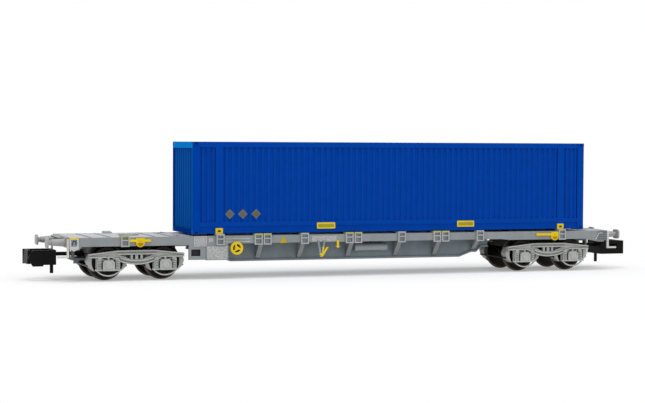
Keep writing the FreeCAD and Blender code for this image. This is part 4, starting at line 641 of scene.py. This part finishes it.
LOCK_RODS_Y = (-4.85, -1.9, 1.9, 4.85)
ROD_RADIUS = 0.18
# blocks on the lock rods: half width, half height, and how far out from the rod's middle
GUIDE = (0.4, 0.16, 0.24)
KEEPER = (0.28, 0.3, 0.3)
GUIDE_SHARES = (0.1, 0.37, 0.63, 0.9)
GUIDE_BOLTS_Y = (-0.3, 0.3)
GUIDE_BOLT = (0.07, 0.05)
KEEPER_INSET = 0.35
SEAL_WIDTH = 0.2
SEAL_DEPTH = 0.06
DOOR_GAP = 0.05


def container_marks():
    """Blank yellow plates on the near bottom rail and three plain diamonds above it."""
    rims = Piece("container_plate_rims", "container", yellow, "signal_yellow")
    faces = Piece("container_plates", "container", dull_yellow, "signal_yellow")
    signs = Piece("container_diamonds", "container", diamond_grey, "container_blue")
    hearts = Piece("container_diamond_hearts", "container", dull_grey, "container_blue")
    bottom, top = PLATE_RISE
    for left, right in PLATE_SPANS:
        rims.plate(-RAIL, 0.05, upright(left, right, bottom, top, 0.12))
        span = (left + PLATE_RIM, right - PLATE_RIM)
        rise = (bottom + PLATE_RIM, top - PLATE_RIM)
        faces.plate(-RAIL - 0.03, 0.05, upright(*span, *rise, 0.08))
    z = DIAMOND_HEIGHT
    for x in DIAMONDS_X:
        for piece, half, proud in ((signs, 1.0, 0.0), (hearts, 0.6, 0.02)):
            diamond = [(x - half, z), (x, z - half), (x + half, z), (x, z + half)]
            piece.plate(-SHEET + DIAMOND_SUNK - proud, DIAMOND_THICKNESS, diamond)
    for piece in (rims, faces, signs, hearts):
        piece.finish(0.02)


def rod_block(gear, x, y, z, size):
    """A block that stands on a door, round one place of a lock rod."""
    half_width, half_height, out = size
    across = (y - half_width, y + half_width)
    gear.block((DOOR, x + out), across, (z - half_height, z + half_height))


def door_gear():
    """Bolted guides along the lock rods, cam keepers at their ends, and seals round both doors."""
    gear = Piece("container_door_gear", "container", container_blue, "container_blue")
    seals = Piece("container_door_seals", "container", rubber, "black_plastic")
    foot = low("container_lock_rods")
    head = high("container_lock_rods")
    x = foot.x + ROD_RADIUS
    for y in LOCK_RODS_Y:
        for share in GUIDE_SHARES:
            z = foot.z + (head.z - foot.z) * share
            rod_block(gear, x, y, z, GUIDE)
            for side in GUIDE_BOLTS_Y:
                gear.bolt((x + GUIDE[2], y + side, z), (1, 0, 0), *GUIDE_BOLT)
        for z in (foot.z + KEEPER_INSET, head.z - KEEPER_INSET):
            rod_block(gear, x, y, z, KEEPER)
    bottom = low("container_doors").z
    top = high("container_doors").z
    reach = high("container_doors").y
    depth = (DOOR, DOOR + SEAL_DEPTH)
    for way in (-1, 1):
        for inner, outer in ((DOOR_GAP, DOOR_GAP + SEAL_WIDTH), (reach - SEAL_WIDTH, reach)):
            y = sorted((way * inner, way * outer))
            seals.block(depth, y, (bottom + SEAL_WIDTH, top - SEAL_WIDTH))
        y = sorted((way * DOOR_GAP, way * reach))
        for z in ((bottom, bottom + SEAL_WIDTH), (top - SEAL_WIDTH, top)):
            seals.block(depth, y, z)
    gear.finish(0.03)
    seals.finish(0.02)


# ---------------------------------------------------------------- the underframe's pieces

SILL = -low("side_sill_near").y

# out from the sill, thickness, and the outline's left, right, bottom, top and cut corners;
# the last plate lies on the side panel
SILL_PLATES = (
    (0.0, 0.12, (-33.0, -30.95, 6.75, 8.25, 0.1)),
    (0.0, 0.05, (-30.3, -29.3, 7.3, 8.1, 0.05)),
    (0.0, 0.05, (-8.9, -3.6, 7.1, 8.25, 0.05)),
    (0.15, 0.04, (-30.65, -26.45, 3.95, 6.5, 0.08)),
)
# thickness, and the outline's left, right, bottom and top
SILL_LINES = (
    (0.14, (-33.23, -33.05, 6.53, 8.47)),
    (0.14, (-30.9, -30.72, 6.53, 8.47)),
    (0.14, (-33.1, -30.85, 6.53, 6.71)),
    (0.14, (-33.1, -30.85, 8.29, 8.47)),
    (0.05, (-26.9, -21.8, 7.26, 7.38)),
    (0.05, (-26.9, -21.8, 7.84, 7.96)),
)
TRIANGLE = ((-15.65, 6.95), (-14.05, 6.95), (-14.85, 8.35))
# the lattice's left, right, bottom and top; then how many bars each way, their half width, and the
# first one's inset and the pitch of the upright and the level bars
LATTICE = (55.5, 57.7, 6.4, 8.4)
LATTICE_BARS = 5
LATTICE_HALF_BAR = 0.08
UPRIGHT_BARS = (0.15, 0.46)
LEVEL_BARS = (0.1, 0.45)
ROPE_HOOK = ((54.9, 6.65), (55.2, 6.95), (55.75, 7.95), (56.6, 7.98))
ROPE_EYE = ((-57.25, 7.1), (-57.1, 7.75), (-56.75, 7.95), (-56.5, 7.75), (-56.6, 7.3))
ROPE_EYE_Y = -8.5

# bolts, bosses and washers are given as radius and height
OUTWARD = (0, -1, 0)
HOLLOW = (0.84, 0.14)
LEVERS_X = (-44.0, 45.2)
LEVER_BOLT_HEIGHT = 7.95
LEVER_WASHER = (0.34, 0.05)
LEVER_BOLT = (0.2, 0.12)
MOON_HEIGHT = 7.4
MOON_RADIUS = 0.6
MOON_STEPS = 8

BUFFERS_Y = (-5.47, 5.47)
BUFFER_BOLTS = (-0.78, 0.78)
BUFFER_BOLT = (0.12, 0.1)
BUFFER_PLATE = 0.3
HEADSTOCK_BOLTS_Y = (-7.4, -3.2, 3.2, 7.4)
HEADSTOCK_BOLTS_Z = (0.4, -0.5)
HEADSTOCK_BOLT = (0.13, 0.1)

BOSS = (2.1, 0.14)
BOSS_BOLTS = 8
BOSS_BOLT_CIRCLE = 1.7
BOSS_BOLT = (0.14, 0.09)
# half sizes are along and across the wagon
DECK_RIBS_X = (37.5, 40.9, 49.6, 53.4)
DECK_RIB_HALF = (0.22, 6.9)
DECK_RIB_HEIGHT = 0.1
DECK_PADS_X = 36.2
DECK_PADS_Y = (-5.9, 5.9)
DECK_PAD_HALF = (0.7, 0.5)
DECK_PAD_HEIGHT = 0.12
DECK_PAD_BOLT = (0.2, 0.08)

MAIN_PIPE = (
    (-33.5, 2.5, 6.2),
    (-30.5, 2.5, 6.2),
    (-29.5, 2.5, 5.6),
    (29.5, 2.5, 5.6),
    (30.5, 2.5, 6.2),
    (33.5, 2.5, 6.2),
)
MAIN_PIPE_RADIUS = 0.22
BRANCH_X = 4.7
BRANCH_RADIUS = 0.14
BRAKE_LINKS = (((-9.9, -1.0, 6.2), (34.5, -1.0, 6.2)), ((-9.9, 1.0, 6.2), (-34.5, 1.0, 6.2)))
BRAKE_LINK_RADIUS = 0.16
BRAKE_YOKE = ((-10.1, -9.7), (-1.5, 1.5), (6.0, 6.4))


def sill_marks():
    """Blank plates, thin lines and a plain triangle on the near sill."""
    plates = Piece("sill_plates", "underframe", mottled_print, "frame_grey")
    for out, thickness, outline in SILL_PLATES:
        plates.plate(-SILL - out, thickness, upright(*outline))
    lines = Piece("sill_lines", "underframe", pale_print, "frame_grey")
    for thickness, outline in SILL_LINES:
        lines.plate(-SILL, thickness, upright(*outline))
    mark = Piece("sill_triangle", "underframe", mark_yellow, "signal_yellow")
    mark.plate(-SILL, 0.05, TRIANGLE)
    for piece in (plates, lines, mark):
        piece.finish(0.02)


def sill_ends():
    """A lattice and a rope hook at one end of each sill, and a rope eye at the other."""
    left, right, bottom, top = LATTICE
    # a dark plate of painted shade behind each lattice
    ground = Piece("sill_end_ground_near", "underframe", lattice_shade, "girder_grey")
    ground.plate(-SILL, 0.03, upright(*LATTICE, 0.1))
    both_halves(ground, "sill_end_ground_far", 0.01)
    lattice = Piece("sill_end_lattice_near", "underframe", frame_grey, "girder_grey")
    half = LATTICE_HALF_BAR
    inset, pitch = UPRIGHT_BARS
    for number in range(LATTICE_BARS):
        x = left + inset + pitch * number
        lattice.plate(-SILL, 0.08, upright(x - half, x + half, bottom, top))
    inset, pitch = LEVEL_BARS
    for number in range(LATTICE_BARS):
        z = bottom + inset + pitch * number
        lattice.plate(-SILL, 0.08, upright(left, right, z - half, z + half))
    both_halves(lattice, "sill_end_lattice_far", 0.01)
    hook = Piece("rope_hook_near", "underframe", pale_print, "frame_grey")
    hook.tube([(x, -SILL - 0.12, z) for x, z in ROPE_HOOK], 0.09)
    both_halves(hook, "rope_hook_far", 0)
    eye = Piece("rope_eye_near", "underframe", slate_print, "girder_grey")
    eye.tube([(x, ROPE_EYE_Y, z) for x, z in ROPE_EYE], 0.1)
    both_halves(eye, "rope_eye_far", 0)


def hand_gear():
    """Dark discs of painted shade behind the handwheels; a bolt and a half-moon of painted shade on
    each changeover lever.
    """
    wheel = middle("handwheel_near")
    # painted shade: a dark disc behind the handwheel, seen between its spokes
    hollow = Piece("handwheel_hollow_near", "underframe", deep_orange, "signal_yellow")
    back = high("handwheel_near").y
    hollow.bolt((wheel.x, back, wheel.z), OUTWARD, *HOLLOW, 20)
    both_halves(hollow, "handwheel_hollow_far", 0.02)
    bolts = Piece("lever_bolts_near", "underframe", yellow, "signal_yellow")
    # painted shade: a darker half-moon plate on each lever, where its relief would be in shade
    moon_shades = Piece("lever_recess_near", "underframe", amber_shade, "signal_yellow")
    face = low("brake_levers_near").y
    for x in LEVERS_X:
        bolts.bolt((x, face, LEVER_BOLT_HEIGHT), OUTWARD, *LEVER_WASHER, 12)
        bolts.bolt((x, face - LEVER_WASHER[1], LEVER_BOLT_HEIGHT), OUTWARD, *LEVER_BOLT)
        moon = []
        for number in range(MOON_STEPS + 1):
            angle = math.pi * number / MOON_STEPS
            drop = MOON_RADIUS * math.sin(angle)
            moon.append((x + MOON_RADIUS * math.cos(angle), MOON_HEIGHT - drop))
        moon_shades.plate(face, 0.03, moon)
    both_halves(bolts, "lever_bolts_far", 0)
    both_halves(moon_shades, "lever_recess_far", 0)


def frame_bolts():
    """Bolt heads on the buffers' base plates and on both headstocks."""
    bolts = Piece("frame_bolts", "underframe", steel, "axle_steel")
    face = -low("headstock_left").x
    height = middle("buffers_left").z
    for end in ENDS:
        for y in BUFFERS_Y:
            for side in BUFFER_BOLTS:
                for rise in BUFFER_BOLTS:
                    spot = (end * (face + BUFFER_PLATE), y + side, height + rise)
                    bolts.bolt(spot, (end, 0, 0), *BUFFER_BOLT)
        for y in HEADSTOCK_BOLTS_Y:
            for rise in HEADSTOCK_BOLTS_Z:
                bolts.bolt((end * face, y, height + rise), (end, 0, 0), *HEADSTOCK_BOLT)
    bolts.finish(0)


def deck_plates():
    """A bolted boss over each pivot, and raised ribs and pads on the end decks."""
    deck = high("end_deck_left").z
    plates = Piece("deck_plates", "underframe", frame_grey, "frame_grey")
    swivel = next(joint for joint in frame["joints"] if joint["name"] == "bogie_right_swivel")
    pivot = swivel["pos_m"][X] / MM
    up = (0, 0, 1)
    circle = BOSS_BOLT_CIRCLE
    rib_along, rib_across = DECK_RIB_HALF
    rib_rise = (deck, deck + DECK_RIB_HEIGHT)
    pad_along, pad_across = DECK_PAD_HALF
    pad_top = deck + DECK_PAD_HEIGHT
    for end in ENDS:
        plates.bolt((end * pivot, 0, deck), up, *BOSS, 24)
        for number in range(BOSS_BOLTS):
            angle = 2 * math.pi * (number + 0.5) / BOSS_BOLTS
            x = end * pivot + circle * math.cos(angle)
            plates.bolt((x, circle * math.sin(angle), deck + BOSS[1]), up, *BOSS_BOLT)
        for place in DECK_RIBS_X:
            x = end * place
            plates.block((x - rib_along, x + rib_along), (-rib_across, rib_across), rib_rise)
        x = end * DECK_PADS_X
        for y in DECK_PADS_Y:
            across = (y - pad_across, y + pad_across)
            plates.block((x - pad_along, x + pad_along), across, (deck, pad_top))
            plates.bolt((x, y, pad_top), up, *DECK_PAD_BOLT)
    plates.finish(0.03)


def under_gear():
    """The main air pipe, a branch from the girder down towards the reservoir, and brake rods."""
    pipes = Piece("air_pipes", "underframe", rubber, "black_plastic")
    girder = high("belly_girder_near").z
    pipes.tube(MAIN_PIPE, MAIN_PIPE_RADIUS)
    x = BRANCH_X
    branch = [(x, -5.55, 6.6), (x, -5.55, girder - 1.2), (x, -4.4, girder - 0.9)]
    pipes.tube(branch, BRANCH_RADIUS)
    pipes.finish(0)
    rods = Piece("brake_rods", "underframe", steel, "axle_steel")
    for link in BRAKE_LINKS:
        rods.tube(link, BRAKE_LINK_RADIUS)
    rods.block(*BRAKE_YOKE)
    rods.finish(0)


# ---------------------------------------------------------------- the bogies' pieces

# places are from the axle's middle, but for the heights of the springs and beams
SPRINGS_X = (-1.79, 1.79)
SPRING_FOOT = 2.75
SPRING_PITCH = 0.45
SPRING_TURNS = 4
SPRING_RADIUS = 0.32
SPRING_WIRE = 0.09
COVER_BOLTS_X = (-0.85, 0.85)
COVER_BOLTS_Z = (-1.34, -0.07)
COVER_BOLT = (0.14, 0.1)
BEAMS_X = (-3.75, 3.75)
BEAM_HALF = 6.3
BEAM_HEIGHT = 2.9
BEAM_RADIUS = 0.16


def bogie_gear():
    """Coil springs, axle cover bolts and brake beams of one bogie, and the same on the other."""
    springs = Piece("bogie_left_springs", "bogie_left", bogie_grey, "bogie_grey")
    bolts = Piece("bogie_left_cover_bolts", "bogie_left", bogie_grey, "bogie_grey")
    beams = Piece("bogie_left_brake_beams", "bogie_left", frame_black, "dark_plastic")
    cover = -low("bogie_left_side_near").y - 0.15
    axles = [middle("axle_1"), middle("axle_2")]
    for way in (-1, 1):
        for axle in axles:
            for offset in SPRINGS_X:
                for turn in range(SPRING_TURNS):
                    z = SPRING_FOOT + turn * SPRING_PITCH
                    spot = (axle.x + offset, way * (cover - 0.38), z)
                    springs.ring(spot, (0, 0, 1), SPRING_RADIUS, SPRING_WIRE)
            for offset in COVER_BOLTS_X:
                for rise in COVER_BOLTS_Z:
                    spot = (axle.x + offset, way * cover, axle.z + rise)
                    bolts.bolt(spot, (0, way, 0), *COVER_BOLT)
    for axle in axles:
        for offset in BEAMS_X:
            x = axle.x + offset
            path = [(x, -BEAM_HALF, BEAM_HEIGHT), (x, BEAM_HALF, BEAM_HEIGHT)]
            beams.tube(path, BEAM_RADIUS)
    for piece in (springs, bolts, beams):
        piece.turned_copy(piece.name.replace("left", "right"), "bogie_right").finish(0)
        piece.finish(0)


container_marks()
door_gear()
sill_marks()
sill_ends()
hand_gear()
frame_bolts()
deck_plates()
under_gear()
bogie_gear()


# ---------------------------------------------------------------- floor, light and camera

# metres: half the line under the wagon that the floor's white is measured from, where the white
# starts and where it is full
SHADE_LINE = 0.055
WHITE_FROM = 0.005
WHITE_BY = 0.034
FLOOR_HALF = 3.0
FLOOR_LIFT = 0.3
WORLD_LEVEL = 0.55
PAPER = (0.8, 0.8, 0.8, 1)
PURE_WHITE = (1, 1, 1, 1)

# degrees, then millimetres
YAW, PITCH, ROLL = 19.73, 2.02, 0.28
TARGET = (-3.7, 0, 14.81)
DISTANCE = 347.7
FOCAL_LENGTH = 94.54


def seen(graph):
    """1 for rays from the camera, and for glossy and transmitted rays, else 0."""
    rays = graph.add("LightPath")
    total = graph.math("ADD", rays.outputs["Is Camera Ray"], rays.outputs["Is Glossy Ray"])
    total = graph.math("ADD", total, rays.outputs["Is Transmission Ray"])
    return graph.math("MINIMUM", total, 1.0)


def floor():
    """A wide pale floor with the wagon's shadow, which turns to plain white further out."""
    half = FLOOR_HALF
    mesh = bpy.data.meshes.new("floor")
    corners = [(-half, -half, 0), (half, -half, 0), (half, half, 0), (-half, half, 0)]
    mesh.from_pydata(corners, [], [(0, 1, 2, 3)])
    piece = bpy.data.objects.new("floor", mesh)
    bpy.context.scene.collection.objects.link(piece)
    graph = Graph(bpy.data.materials.new("floor_paper"))
    split = graph.add("SeparateXYZ", {0: graph.place()})
    past_end = graph.math("SUBTRACT", graph.math("ABSOLUTE", split.outputs[X]), SHADE_LINE)
    past_end = graph.math("MAXIMUM", past_end, 0.0)
    squares = [graph.math("POWER", offset, 2.0) for offset in (past_end, split.outputs[Y])]
    distance = graph.math("SQRT", graph.math("ADD", *squares))
    away = graph.spread(distance, (WHITE_FROM, WHITE_BY), (0.0, 1.0))
    paper = graph.add("BsdfDiffuse", {"Color": PAPER})
    strength = graph.math("MULTIPLY", seen(graph), FLOOR_LIFT)
    lift = graph.add("Emission", {"Color": PURE_WHITE, "Strength": strength})
    near = graph.add("AddShader", {0: paper.outputs[0], 1: lift.outputs[0]})
    white = graph.add("Emission", {"Color": PURE_WHITE, "Strength": 1.0})
    far = graph.math("MULTIPLY", away, seen(graph))
    both = graph.add("MixShader", {0: far, 1: near.outputs[0], 2: white.outputs[0]})
    graph.add("OutputMaterial", {"Surface": both.outputs[0]})
    mesh.materials.append(graph.owner)


def world():
    """Even light from all round; white where the camera or a reflection sees it."""
    studio = bpy.data.worlds.new("studio")
    bpy.context.scene.world = studio
    graph = Graph(studio)
    level = graph.spread(seen(graph), (0.0, 1.0), (WORLD_LEVEL, 1.0))
    sky = graph.add("Background", {"Color": PURE_WHITE, "Strength": level})
    graph.add("OutputWorld", {"Surface": sky.outputs[0]})


def softbox(name, place, size, power):
    """A square area lamp that points at the wagon; metres and watts."""
    lamp = bpy.data.lights.new(name, "AREA")
    lamp.size = size
    lamp.energy = power
    piece = bpy.data.objects.new(name, lamp)
    piece.location = place
    piece.rotation_euler = (-Vector(place)).to_track_quat("-Z", "Y").to_euler()
    bpy.context.scene.collection.objects.link(piece)


def camera():
    """A long lens at about the height of the container's roof, to the left of square on."""
    yaw, pitch, roll = (math.radians(angle) for angle in (YAW, PITCH, ROLL))
    level = math.cos(pitch)
    forward = Vector((math.sin(yaw) * level, math.cos(yaw) * level, -math.sin(pitch)))
    right = Vector((math.cos(yaw), -math.sin(yaw), 0))
    up = right.cross(forward)
    rolled_right = right * math.cos(roll) + up * math.sin(roll)
    rolled_up = up * math.cos(roll) - right * math.sin(roll)
    spot = (Vector(TARGET) - forward * DISTANCE) * MM
    lens = bpy.data.cameras.new("camera")
    lens.sensor_width = 36.0
    lens.lens = FOCAL_LENGTH
    lens.clip_start = 0.01
    piece = bpy.data.objects.new("camera", lens)
    turn = Matrix((rolled_right, rolled_up, -forward)).transposed().to_4x4()
    piece.matrix_world = Matrix.Translation(spot) @ turn
    bpy.context.scene.collection.objects.link(piece)
    bpy.context.scene.camera = piece


floor()
world()
softbox("key", place=(-0.15, -0.4, 1.7), size=1.1, power=10.5)
softbox("side", place=(0.7, -1.5, 1.0), size=0.9, power=3.4)
camera()
bpy.context.scene.view_settings.view_transform = "Standard"
